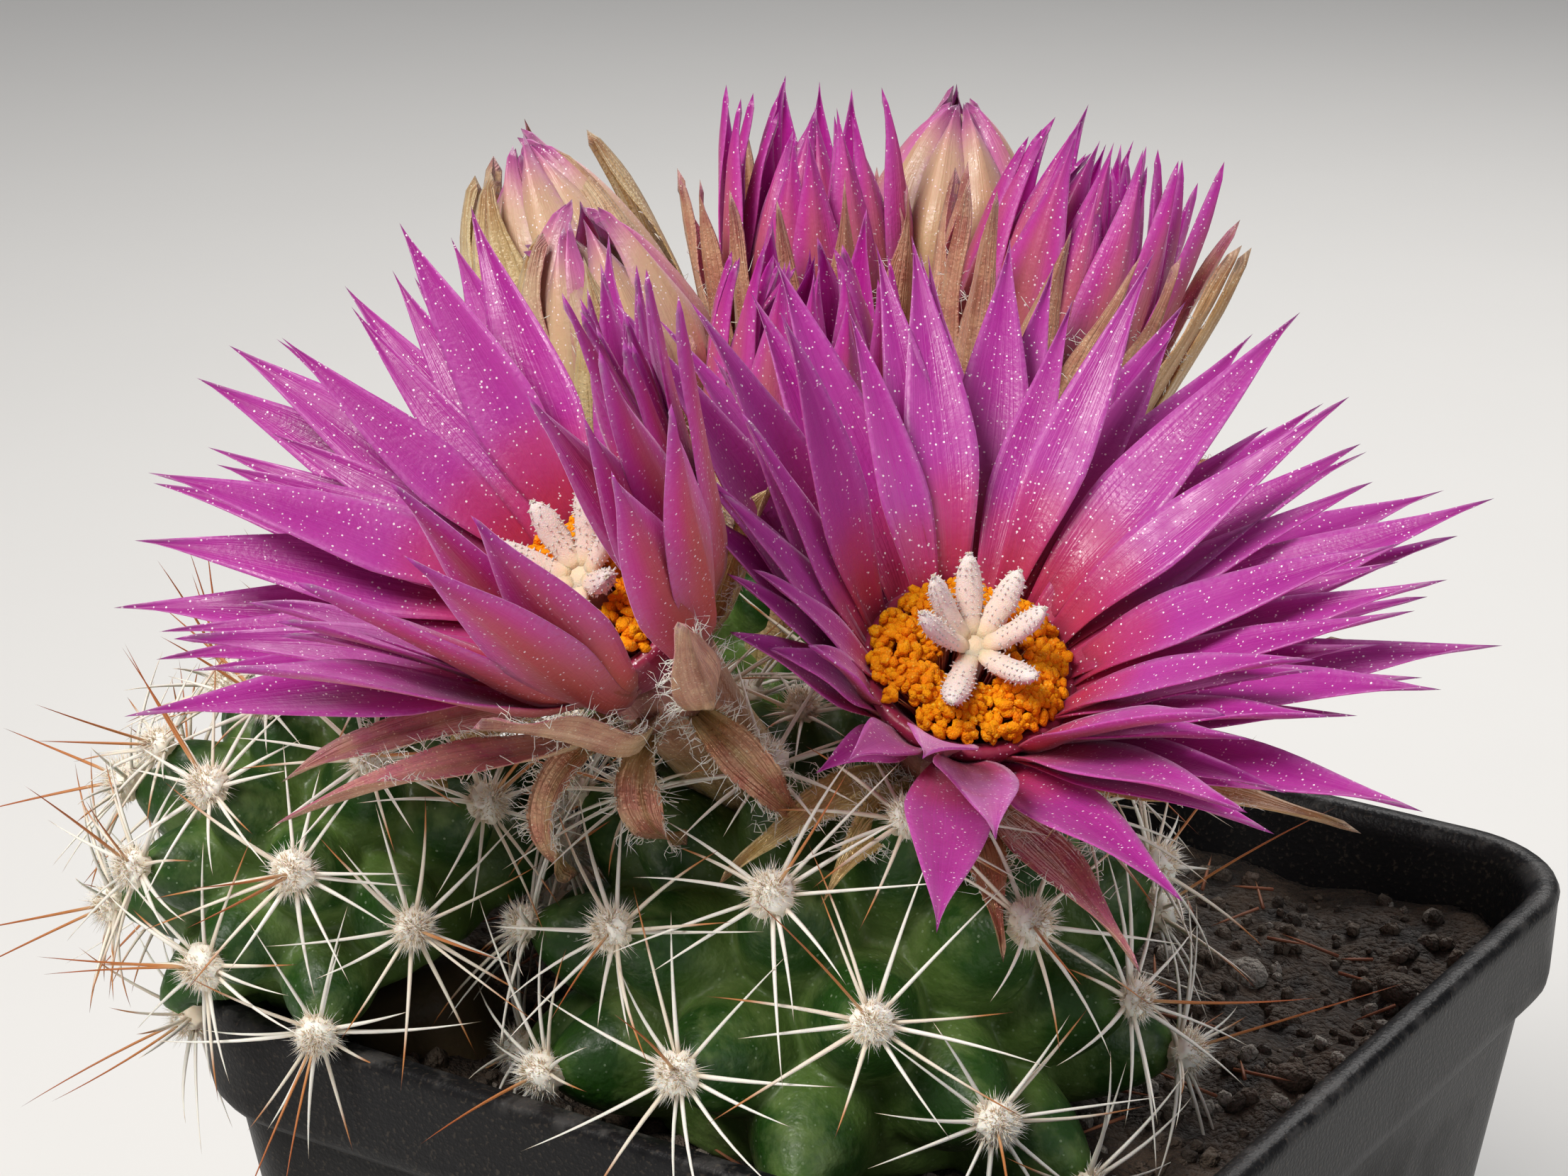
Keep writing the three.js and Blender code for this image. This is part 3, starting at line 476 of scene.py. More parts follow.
def buildSepalMaterial(name, look, blushShare):
    material, tree, shader = newMaterial(name)
    across, along, chance, tone = marksOf(tree)
    here = objectPlace(tree)
    run = ramp(tree, along, [(0.0, look["root"]), (0.3, look["middle"]), (0.75, look["middle"]),
        (1.0, look["tip"])])
    veins = placeGroup(tree, lengthVeins, {"Lines": 4.0, "Drift": 2.5}, Across=across, Along=along,
        Chance=chance)
    # Pale along the vein streaks and, below, in random patches: partly pale tissue, partly painted sheen
    # highlights.
    colour = blend(tree, times(tree, stretched(tree, veins.outputs["Streak"], 0.42, 0.7), 0.7), run,
        look["pale"])
    flushed = times(tree, stretched(tree, chance, 1 - blushShare, 1.1 - blushShare),
        stretched(tree, along, 0.1, 0.4))
    upper = reckon(tree, "SUBTRACT", 1.0, times(tree, tone, 0.6))
    colour = blend(tree, times(tree, times(tree, flushed, upper), 0.8), colour, look["blush"])
    off = reckon(tree, "ABSOLUTE", across)
    colour = blend(tree, times(tree, stretched(tree, off, 0.32, 0.0), 0.5), colour, look["rib"])
    patch = placeGroup(tree, softMottle, {"Scale": 500.0}, Place=here)
    # Random pale patches: painted sheen highlights over the tan.
    colour = blend(tree, times(tree, patch.outputs["Patch"], 0.4), colour, look["pale"])
    colour = speckled(tree, here, colour, sepalGlints, (0.95, 0.80, 0.56))
    join(tree, colour, shader.inputs["Base Color"])
    join(tree, stretched(tree, patch.outputs["Patch"], 0.0, 1.0, look["gloss"], look["gloss"] + 0.22),
        shader.inputs["Roughness"])
    raiseBump(tree, shader, reckon(tree, "MULTIPLY_ADD", veins.outputs["Ridge"], 0.8, patch.outputs["Grain"]),
        0.5, 0.0003)
    setPlain(shader, {"Subsurface Weight": 0.12, "Subsurface Radius": (1.0, 0.5, 0.25),
        "Subsurface Scale": 0.001, "Sheen Weight": look["sheen"], "Sheen Tint": (1.0, 0.92, 0.8, 1),
        "Metallic": look["metal"]})
    return material


def buildHairMaterial(name, root, tip, roughness=0.55):  # hairs and wool, a little paler to the tip
    material, tree, shader = newMaterial(name)
    _, along, chance, _ = marksOf(tree)
    colour = ramp(tree, along, [(0.0, root), (1.0, tip)])
    colour = blend(tree, times(tree, chance, 0.12), colour, tuple(c * 0.75 for c in root))
    join(tree, colour, shader.inputs["Base Color"])
    join(tree, stretched(tree, chance, 0.0, 1.0, roughness - 0.1, roughness + 0.15), shader.inputs["Roughness"])
    setPlain(shader, {"Subsurface Weight": 0.2, "Subsurface Scale": 0.0004})
    return material


# Anthers: a lit and an in-shadow tone of one orange, mixed at random, are painted light and shade; paler specks
# lie over them.
def buildPollenMaterial(name, bright, shade):
    material, tree, shader = newMaterial(name)
    chance = marksOf(tree)[2]
    here = objectPlace(tree)
    patch = placeGroup(tree, softMottle, {"Scale": 900.0, "Low": 0.35, "High": 0.65}, Place=here)
    mixed = reckon(tree, "MULTIPLY_ADD", chance, 0.5, times(tree, patch.outputs["Patch"], 0.5))
    colour = blend(tree, mixed, shade, bright)
    specks = placeGroup(tree, fineSpecks, {"Density": 5200.0, "Size": 0.3, "Share": 0.4}, Place=here)
    colour = blend(tree, times(tree, specks.outputs["Mask"], 0.5), colour, (1.0, 0.62, 0.08))
    join(tree, colour, shader.inputs["Base Color"])
    join(tree, stretched(tree, patch.outputs["Grain"], 0.3, 0.7, 0.6, 0.9), shader.inputs["Roughness"])
    raiseBump(tree, shader, patch.outputs["Grain"], 0.8, 0.0002)
    setPlain(shader, {"Specular IOR Level": 0.2, "Subsurface Weight": 0.25,
        "Subsurface Radius": (1.0, 0.4, 0.05), "Subsurface Scale": 0.0008})
    return material


def buildStigmaMaterial(name):
    material, tree, shader = newMaterial(name)
    along = marksOf(tree)[1]
    patch = placeGroup(tree, softMottle, {"Scale": 1500.0}, Place=objectPlace(tree))
    colour = ramp(tree, along, [(0.0, (0.80, 0.58, 0.34)), (0.3, (0.86, 0.68, 0.58)),
        (1.0, (0.88, 0.77, 0.72))])
    colour = blend(tree, times(tree, patch.outputs["Patch"], 0.25), colour, (0.85, 0.66, 0.58))
    join(tree, colour, shader.inputs["Base Color"])
    join(tree, stretched(tree, patch.outputs["Grain"], 0.3, 0.7, 0.45, 0.7), shader.inputs["Roughness"])
    raiseBump(tree, shader, patch.outputs["Grain"], 0.5, 0.0001)
    setPlain(shader, {"Subsurface Weight": 0.3, "Subsurface Scale": 0.0008, "Sheen Weight": 0.3})
    return material


petalSkin = buildPetalMaterial("petalMagenta", petalLook)
backPetalSkin = buildPetalMaterial("petalHalfOpen", {
    **petalLook, "magenta": (0.47, 0.024, 0.33), "deep": (0.42, 0.009, 0.28), "tip": (0.32, 0.006, 0.20),
    "outerFoot": (0.44, 0.22, 0.09), "outer": (0.58, 0.045, 0.30), "underRib": (0.48, 0.13, 0.11),
    "lilac": (0.56, 0.055, 0.40), "frostSheen": (0.62, 0.15, 0.48), "outerShare": 0.7,
})
budPetalSkin = buildPetalMaterial("petalBud", {
    **petalLook, "base": (0.36, 0.27, 0.10), "throat": (0.54, 0.36, 0.16), "rose": (0.62, 0.28, 0.24),
    "magenta": (0.62, 0.14, 0.40), "deep": (0.54, 0.06, 0.34), "lilac": (0.72, 0.36, 0.46),
    "underRib": (0.54, 0.30, 0.17), "outerFoot": (0.50, 0.33, 0.13), "outer": (0.68, 0.19, 0.38),
    "outerShare": 0.7, "cream": (0.62, 0.42, 0.23), "creamShare": 0.8,
})
sepalSkin = buildSepalMaterial("sepalTan", sepalLook, 0.75)
budSepalSkin = buildSepalMaterial("sepalBud", {**sepalLook, "middle": (0.50, 0.34, 0.15),
    "pale": (0.76, 0.62, 0.36), "root": (0.28, 0.21, 0.07), "tip": (0.34, 0.14, 0.045)}, 0.3)
bractSkin = buildSepalMaterial("bractGold", {
    **sepalLook, "root": (0.22, 0.18, 0.045), "middle": (0.53, 0.36, 0.11), "tip": (0.34, 0.12, 0.035),
    "pale": (0.92, 0.74, 0.40), "rib": (0.34, 0.22, 0.06), "blush": (0.50, 0.14, 0.13), "gloss": 0.24,
    "metal": 0.4, "sheen": 0.05,
}, 0.35)
fringeHair = buildHairMaterial("fringeHair", (0.82, 0.74, 0.62), (0.92, 0.88, 0.82))
# the lit orange and the painted in-shadow orange of the anthers
pollen = buildPollenMaterial("antherOrange", (1.0, 0.39, 0.0), (0.96, 0.23, 0.0))
filamentSkin = buildHairMaterial("filamentPink", (0.60, 0.10, 0.12), (0.80, 0.30, 0.10), 0.4)
stigmaSkin = buildStigmaMaterial("stigmaCream")
print("flower materials built")

# flowers

petalShape = {
    "points": 9,  # across each face
    "channel": 0.36,  # mm that the middle sinks below the edges
    "thickness": 0.34, "edge": 0.09, "rib": 0.16,
    "twist": 5.0, "sway": 1.0, "wave": 0.1, "slim": 0.86,
    "hook": 0.5, "bow": 5,  # mm that the tip bends outward, and how late along the tepal it does
}
petalShapes = {"open": petalShape}
petalShapes["half"] = {**petalShape, "channel": 0.55, "slim": 0.98, "hook": -3.0, "bow": 2.0, "sway": 0.6}
petalShapes["bud"] = {**petalShape, "channel": 1.15, "slim": 1.0, "hook": -1.2, "bow": 2.5, "sway": 0.4,
    "thickness": 0.26}
sepalShape = {**petalShape, "points": 7, "channel": 0.5, "thickness": 0.3, "rib": 0.2, "wave": 0.28,
    "sway": 0.6, "twist": 3.0, "slim": 0.7, "hook": 1.3}
sepalShapes = {"open": sepalShape}
sepalShapes["half"] = {**sepalShape, "slim": 0.8, "hook": -1.6, "bow": 2.4}
sepalShapes["bud"] = {**sepalShape, "slim": 1.0, "channel": 1.1, "hook": -3.6, "bow": 1.5}
bractShape = {**sepalShape, "slim": 0.74, "channel": 0.8, "wave": 0.4, "hook": 0.8, "bow": 2.3}

# A whorl: count, open and curl in degrees, length, width, where it springs, its angle there, shift round.
openPetals = [(7, 58, 4, 20.5, 4.5, (4.75, 3.3), 26, 0.0), (10, 67, 5, 23.5, 5.1, (4.1, 2.0), 34, 0.5),
    (11, 75, 5, 25, 5.2, (3.5, 0.8), 44, 0.0)]
openSepals = [(9, 86, 8, 21, 4.4, (2.5, -2.2), 62, 0.5)]
halfPetals = [(6, 4, -5, 15.5, 4.2, (2.95, 2.3), 24, 0.0), (8, 10, -3, 17.5, 4.3, (2.85, 1.0), 38, 0.5)]
halfSepals = [(7, 17, 5, 17.5, 4.1, (2.2, -2.0), 60, 0.0)]
budPetals = [(6, -8, -20, 13, 4.8, (2.4, 1.0), 44, 0.0)]
budSepals = [(6, -2, -24, 15, 5.0, (2.2, -1.8), 60, 0.5)]

# Tepals in the gaps between these, their length and width beside their neighbours.
gapShares = {"open": (0.92, 0.8), "openFine": (0.88, 0.7), "half": (0.97, 0.9), "halfSepals": (1.0, 0.9),
    "bud": (1.0, 1.0), "budSepals": (0.95, 0.95)}
budInner = {"count": 9, "length": 12.5, "width": 4.3, "start": 44, "springs": (2.3, 1.1), "open": -9,
    "curl": -21}
bract = {"width": 3.3, "springs": (2.3, -3.6), "start": 60, "droop": 55, "shortest": 15}

kinds = {
    "open": {"petals": openPetals, "sepals": openSepals, "cup": ((3.4, 0), (5.6, 4.4))},
    "half": {"petals": halfPetals, "sepals": halfSepals, "cup": ((3.2, 0), (3.7, 3.6))},
    "bud": {"petals": budPetals, "sepals": budSepals, "cup": ((3.0, 0), (3.2, 2.4))},
}

# Where a flower leaves its head, where it points, and what draws its sides in.
# Folds, stunted arcs and petals turned aside are (turn, width, amount). Bracts and more, which only
# the scene has, are (turn, open, curl, length). No tepal stands between others in a bare arc.
plainSides = {"closed": 0, "wide": (0, 0), "folds": [], "stunted": []}
flowers = {
    "right": {
        "kind": "open", "foot": (1.4, -10.6, 65.2), "axis": (0.12, -0.5, 0.857), "tube": 11, "size": 1.04,
        "seed": 101, "closed": 4, "wide": (78, 11), "folds": [(162, 50, 36), (-45, 70, 10)], "bare": (255, 48),
        "stunted": [(218, 42, 0.32), (-60, 70, 0.84), (126, 36, 0.82)],
        "bracts": [(-100, 150, 40, 12), (-146, 128, 55, 15), (-66, 146, 32, 15), (-24, 112, 40, 13),
                   (70, 96, 30, 13)],
        "more": [(-138, 78, -20, 14), (-120, 72, -10, 11.5), (-80, 75, -22, 12.5)],
    },
    "left": {
        "kind": "open", "foot": (-8.6, -11.9, 67.8), "axis": (-0.42, -0.48, 0.77), "tube": 15.5, "size": 1.02,
        "seed": 202, "closed": 10, "wide": (140, 4), "folds": [(-84, 100, 50), (28, 65, 36)],
        "stunted": [(-60, 70, 0.88), (50, 55, 0.68), (185, 50, 0.87)], "bare": (285, 62),
        "aside": (303, 22, 18),
        "bracts": [(-110, 128, 60, 12), (-62, 124, 62, 13), (-150, 104, 45, 14), (175, 86, 36, 16)],
    },
    "mid": {
        "kind": "half", "foot": (-6.2, 13.6, 65.5), "axis": (0.06, -0.08, 1), "tube": 10.5, "size": 0.95,
        "seed": 303, **plainSides, "bracts": [(165, 22, 14, 14), (250, 26, 20, 13), (300, 30, 20, 11)],
    },
    "rearLeft": {
        "kind": "half", "foot": (-3.8, 26.5, 70), "axis": (-0.04, 0.05, 1), "tube": 9.5, "size": 1.0,
        "seed": 404, **plainSides, "closed": 4,
        "bracts": [(185, 34, 14, 13), (100, 36, 20, 12), (290, 26, 14, 12)],
    },
    "rearRight": {
        "kind": "half", "foot": (4.8, 20.5, 67), "axis": (0.28, 0.06, 1), "tube": 11.5, "size": 1.07,
        "seed": 505, **plainSides, "wide": (0, 3),
        "bracts": [(-12, 46, 18, 15), (-60, 54, 10, 14), (60, 40, 20, 13)],
    },
    "rearMiddle": {
        "kind": "bud", "foot": (2.9, 29.3, 68.5), "axis": (0.05, 0.1, 1), "tube": 14, "size": 1.2, "seed": 606,
        **plainSides, "bracts": [(80, 22, 8, 10), (150, 20, 10, 10)],
    },
    "tallBud": {
        "kind": "bud", "foot": (-14.3, 25.5, 67.5), "axis": (-0.31, 0.1, 1), "tube": 12.4, "size": 1.32,
        "seed": 707, **plainSides, "bracts": [(20, 24, 8, 9), (140, 26, 10, 9)],
    },
    "smallBud": {
        "kind": "bud", "foot": (-12.2, 17.2, 65.5), "axis": (-0.24, -0.06, 1), "tube": 14.6, "size": 1.2,
        "seed": 808, **plainSides, "bracts": [(-20, 20, 12, 9), (-120, 22, 10, 8)],
    },
}


def cornersOf(node):  # a CAD node's corners in the plant's frame, to look places up in
    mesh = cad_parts[node].data
    corners = np.empty(len(mesh.vertices) * 3)
    mesh.vertices.foreach_get("co", corners)
    corners = moved(corners.reshape(-1, 3) * 1000, toPlant)
    tree = KDTree(len(corners))
    for i, corner in enumerate(corners):
        tree.insert(corner, i)
    tree.balance()
    return tree


lineSteps = 40


def tepalLine(start, springs, opening, curl, length):  # radius, height and angle at each station
    bend = 8  # mm over which it turns from its start to its opening
    r, z = springs
    line = [(r, z, math.radians(start))]
    for i in range(1, lineSteps + 1):
        along = i / lineSteps
        turned = (opening - start) * float(smooth(along * length / bend))
        angle = math.radians(start + turned + curl * along ** 2)
        r += math.sin(angle) * length / lineSteps
        z += math.cos(angle) * length / lineSteps
        line.append((r, z, angle))
    return np.array(line)


def tepalWidth(along):
    past = np.clip((along - 0.42) / 0.58, 0, 1)
    return np.where(along < 0.42, 0.4 + 0.6 * smooth(along / 0.42), (1 - past) ** 1.5 * (1 + past))


def turnBetween(a, b):
    return (a - b + 540) % 360 - 180


def within(turn, middle, width):
    return max(0.0, 1 - (turnBetween(turn, middle) / width) ** 2)


def flowerMatrix(flower):
    axis = Vector(flower["axis"]).normalized()
    return standing(Vector(flower["foot"]) + axis * (flower["tube"] - 3), axis)


# Each tepal as it stands in the CAD solid. There it may have bent clear of a neighbour, so the bend
# is the one whose tip is a corner of the solid. One that isn't there was left out of the solid.
bends = [0, -5, 5, -10, 10, -16, 16, -23, 23, -30]
nearCorner, nearTubercle = 0.12, 0.15  # mm
bractRing = 9
pressedOpen = {"half": 9, "bud": -8}


def tepalsOf(flower, part, corners, matrix):
    plans = []
    for ring, whorl in enumerate(kinds[flower["kind"]][part]):
        count, opening, curl, length, width, springs, start, shift = whorl
        for i in range(count):
            key = ring * 40 + i
            turn = (i + shift) * 360 / count + spreadBy(flower["seed"], key, 4)
            folded = sum(by * within(turn, middle, wide) for middle, wide, by in flower["folds"])
            wideTurn, wideBy = flower["wide"]
            opened = opening + wideBy * math.cos(math.radians(turn - wideTurn)) - flower["closed"] - folded
            opened += spreadBy(flower["seed"] + 1, key, 1.6)
            grown = 1.0
            for middle, wide, to in flower["stunted"]:
                grown *= 1 - (1 - to) * within(turn, middle, wide)
            span = length * flower["size"] * grown * (1 + spreadBy(flower["seed"] + 2, key, 0.07))
            plans.append({"ring": ring, "key": key, "turn": turn, "open": opened, "curl": curl, "length": span,
                          "width": width * flower["size"] * math.sqrt(grown), "springs": springs,
                          "start": start})
    if part == "sepals":
        for i, (turn, opening, curl, length) in enumerate(flower["bracts"]):
            plans.append({"ring": bractRing, "key": 400 + i, "turn": turn, "open": opening, "curl": curl,
                          "length": length, "width": bract["width"], "springs": bract["springs"],
                          "start": bract["start"]})
    found = []
    for plan in plans:
        for share, bend in [(s, b) for s in (1, 0.8, 0.6) for b in bends]:
            line = tepalLine(plan["start"], plan["springs"], plan["open"] + bend, plan["curl"],
                plan["length"] * share)
            turn = math.radians(plan["turn"])
            tip = matrix @ Vector((line[-1][0] * math.cos(turn), line[-1][0] * math.sin(turn), line[-1][1]))
            if corners.find(tip)[2] < nearCorner:
                middle, wide, by = flower.get("aside", (0, 1, 0))
                plan["turn"] += by * within(plan["turn"], middle, wide) * (part == "petals")
                found.append({**plan, "open": plan["open"] + bend, "length": plan["length"] * share,
                              "width": plan["width"] * math.sqrt(share), "line": line})
                break
        else:
            if part == "sepals" and plan["ring"] < bractRing and flower["kind"] != "open":
                # it lies flat on the petals instead
                pressed, length = pressedOpen[flower["kind"]], plan["length"] * 0.86
                line = tepalLine(46, plan["springs"], pressed, plan["curl"], length)
                found.append({**plan, "open": pressed, "length": length, "line": line})
    print(f"  {len(found)} of {len(plans)} {part} placed")
    if part == "sepals":  # small bracts that only the scene has
        for i, (turn, opening, curl, length) in enumerate(flower.get("more", [])):
            springs, start = (2.6, -2.2), bract["start"]
            found.append({"ring": bractRing, "key": 500 + i, "turn": turn, "open": opening, "curl": curl,
                          "length": length, "width": bract["width"], "springs": springs, "start": start,
                          "line": tepalLine(start, springs, opening, curl, length)})
    return found


# More tepals in the gaps between two neighbours of a ring, a little shorter and slimmer than they are.
def between(tepals, seed, share, narrow, bare=None, widest=75):
    more = []
    for ring in sorted({t["ring"] for t in tepals if t["ring"] < bractRing}):
        row = sorted((t for t in tepals if t["ring"] == ring), key=lambda t: t["turn"])
        for i, (a, b) in enumerate(zip(row, row[1:] + row[:1])):
            step = (b["turn"] - a["turn"]) % 360
            if step > widest or abs(a["open"] - b["open"]) > 22 or min(a["length"], b["length"]) < 9:
                continue
            turn = a["turn"] + step * (0.5 + spreadBy(seed, i + ring * 30, 0.12))
            if bare and within(turn, *bare):
                continue
            opening = (a["open"] + b["open"]) / 2 - 3 + spreadBy(seed + 1, i + ring * 30, 3)
            length = (a["length"] + b["length"]) / 2 * (share + spreadBy(seed + 2, i + ring * 30, 0.06))
            springs = (a["springs"][0] - 0.15, a["springs"][1] + 0.35)
            more.append({**a, "key": a["key"] + 1000, "turn": turn, "open": opening, "length": length,
                         "springs": springs, "width": (a["width"] + b["width"]) / 2 * narrow,
                         "line": tepalLine(a["start"], springs, opening, a["curl"], length)})
    return more


# A tepal as a thin closed blade, channelled above and ribbed below.
def tepalShell(tepal, shape, seed):
    picks = np.arange(0, lineSteps + 1, 2)
    line = tepal["line"][picks]
    along = picks / lineSteps
    m = shape["points"]
    chance = drawn(seed + 3, tepal["key"])
    u = np.linspace(-1, 1, m)
    half = tepal["width"] / 2 * shape["slim"] * tepalWidth(along)
    fade = np.minimum(1, along * 5 + 0.25) * (1 - 0.55 * along)
    dip = shape["channel"] * fade[:, None] * (1 - np.abs(u)[None] ** 1.7) * min(1.2, tepal["width"] / 4)
    waves, finer = np.sin(along * (8 + 5 * chance) + chance * 20), np.sin(along * 17 + chance * 9)
    ripple = shape["wave"] * waves[:, None] * (u * np.abs(u))[None] * along[:, None]
    ripple += 0.5 * shape["wave"] * finer[:, None] * np.abs(u)[None] ** 3 * along[:, None]
    top = dip + ripple
    ridge = shape["rib"] * np.exp(-(u / 0.16) ** 2)
    thick = shape["edge"] + (shape["thickness"] * (1 - np.abs(u)) + ridge)[None] * (1 - 0.6 * along)[:, None]
    thick = thick * np.clip((1.02 - along) / 0.2, 0.1, 1)[:, None]
    side = half[:, None] * u[None]
    sides = np.concatenate([side, side[:, ::-1]], axis=1)
    depths = np.concatenate([top, (top + thick)[:, ::-1]], axis=1)
    twist = np.radians(shape["twist"] * (0.8 + spreadBy(seed + 4, tepal["key"], 1.0)))
    twist = twist * np.minimum(1, along * 2)
    c, s = np.cos(twist)[:, None], np.sin(twist)[:, None]
    sides, depths = sides * c - depths * s, sides * s + depths * c
    sway = shape["sway"] * spreadBy(seed + 5, tepal["key"], 1.0) * along ** 2
    sides = sides + sway[:, None] * min(1, tepal["length"] / 20)
    hook = shape["hook"] * (0.8 + spreadBy(seed + 6, tepal["key"], 0.6)) * along ** shape["bow"]
    depths = depths + hook[:, None]
    r = line[:, :1] + depths * np.cos(line[:, 2:])
    z = line[:, 1:2] - depths * np.sin(line[:, 2:])
    places = aboutAxis(r, sides, z, math.radians(tepal["turn"]))
    rings = len(picks) - 1
    tip = places[-1].mean(axis=0)
    marks = np.zeros((rings, 2 * m, 4))
    marks[:, :, 0] = np.concatenate([u, u[::-1]])[None]
    marks[:, :, 1] = along[:-1, None]
    marks[:, :, 2] = chance
    marks[:, m:, 3] = 1
    faces = gridFaces(rings, 2 * m)
    last, end = (rings - 1) * 2 * m, rings * 2 * m
    faces += [(last + i, last + (i + 1) % (2 * m), end) for i in range(2 * m)]
    faces += [(j, 2 * m - 1 - j, 2 * m - 2 - j, j + 1) for j in range(m - 1)]
    flat = np.concatenate([places[:-1].reshape(-1, 3), tip[None]])
    allMarks = np.concatenate([marks.reshape(-1, 4), [[0, 1, chance, 0]]])
    return flat, faces, allMarks, places


fringe = {"perMm": 3.0, "long": 1.6, "radius": 0.034, "from": 0.02, "to": 0.75, "curl": 0.6,
          "bract": 1.6, "sepal": 0.7, "back": 0.35}  # how thickly it grows on each


# Curly white hairs along both edges of an outer tepal.
def addFringe(pile, places, length, rng, look, slot, thin=1.0):
    stations = len(places)
    count = max(4, int(length * look["perMm"] * thin))
    m = places.shape[1] // 2
    for edge, other in ((0, 1), (m - 1, m - 2)):
        share = look["from"] + (look["to"] - look["from"]) * np.sort(rng.random(count))
        at = share * (stations - 1)
        low = at.astype(int)
        part = (at - low)[:, None]
        base = places[low, edge] * (1 - part) + places[low + 1, edge] * part
        inner = places[low, other] * (1 - part) + places[low + 1, other] * part
        forward = unit(places[low + 1, edge] - places[low, edge])
        swept = forward * (0.2 + 0.5 * rng.random((count, 1)))
        out = unit(unit(base - inner) + swept + rng.normal(0, 0.35, (count, 3)))
        span = look["long"] * (0.45 + 0.75 * rng.random((count, 1))) * np.sqrt(1.1 - share)[:, None]
        swing = unit(rng.normal(0, 1, (count, 3)))
        steps = 5
        path = np.empty((count, steps, 3))
        for k in range(steps):
            t = k / (steps - 1)
            bent = np.sin(t * (3 + 2.5 * rng.random((count, 1)))) * look["curl"] * t
            path[:, k] = base - 0.1 * out + out * span * t + swing * span * bent
        addTubes(pile, path, look["radius"] * np.linspace(1, 0.35, steps), 3, rng.random(count),
            np.zeros(count), slot)


def tubeShell(flower):  # the fleshy tube under a flower, lightly ribbed
    rings = 9
    profile = [(0, -flower["tube"])]
    for k in range(rings):
        t = k / (rings - 1)
        profile.append((2.6 + 0.7 * float(smooth((t - 0.45) / 0.55)), -flower["tube"] * (1 - t) - 0.35 * t))
    profile.append((0, -0.35))
    return turnedShell(profile, 24, 0.03, flower["seed"])


def cupShell(flower):
    (lowR, lowZ), (highR, highZ) = kinds[flower["kind"]]["cup"]
    if flower["kind"] == "bud":
        length = budPetals[0][3] * flower["size"]
        belly = 2.45 * flower["size"]
        profile = [(0, 0), (lowR, 0), (belly * 0.98, 0.22 * length), (belly, 0.33 * length),
                   (0.9 * belly, 0.48 * length), (0.6 * belly, 0.64 * length), (0.25 * belly, 0.76 * length),
                   (0, 0.8 * length)]
        return turnedShell(profile, 24, 0.02, flower["seed"])
    wall, midR, midZ = 0.9, (lowR + highR) / 2, (lowZ + highZ) / 2
    profile = [(0, lowZ), (lowR * 0.96, lowZ), (lowR + 0.1, lowZ + 0.3), (midR + 0.15, midZ),
               (highR, highZ - 0.2), (highR - 0.35, highZ), (highR - wall, highZ - 0.3),
               (midR - wall, midZ), (lowR - wall, lowZ + wall), (0, lowZ + wall)]
    return turnedShell(profile, 32, 0.012, flower["seed"])


stamenLook = {
    "open": {"count": 400, "inner": 1.75, "outer": 4.95, "height": 4.45, "swell": 0.95, "anther": 0.33},
    "half": {"count": 36, "inner": 0.6, "outer": 2.0, "height": 5.0, "swell": 0.3, "anther": 0.38},
}


def addStamens(pile, matrix, rng, look):
    count = look["count"]
    share = np.sqrt(rng.random(count) * (look["outer"] ** 2 - look["inner"] ** 2) + look["inner"] ** 2)
    turn = np.arange(count) * goldenAngle + rng.normal(0, 0.15, count)
    rise = np.sin(math.pi * (share - look["inner"] + 0.3) / (look["outer"] - look["inner"] + 0.6))
    top = ringPoints(share, turn, look["height"] + look["swell"] * rise + rng.normal(0, 0.16, count))
    foot = ringPoints(1.3 + (share - look["inner"]) * 0.35, turn + 0.2, 1.2)
    steps = np.linspace(0, 1, 3)[None, :, None]
    path = foot[:, None] * (1 - steps) + top[:, None] * steps
    path[:, 1, :2] *= 0.93
    radii = 0.075 * np.linspace(1.2, 0.7, 3)
    addTubes(pile, moved(path, matrix), radii, 4, rng.random(count), np.zeros(count), 1)
    ways = moved(unit(rng.normal(0, 0.8, (count, 3)) + [0, 0, 0.6]), np.array(matrix)[:3, :3])
    apart = unit(np.cross(ways, rng.normal(0, 1, (count, 3))))
    for side in (-1, 1):  # an anther has two cells
        sizes = look["anther"] * (0.75 + 0.5 * rng.random((count, 1))) * np.array([[0.72, 0.72, 1.1]])
        addLumps(pile, moved(top, matrix) + side * 0.62 * look["anther"] * apart, sizes, 0.22, rng, 2, 0,
            ways=ways)


stigmaLook = {"lobes": 7, "long": 4.5, "radius": 0.6, "neck": 6.0, "open": 30, "droop": 42, "fuzz": 150}


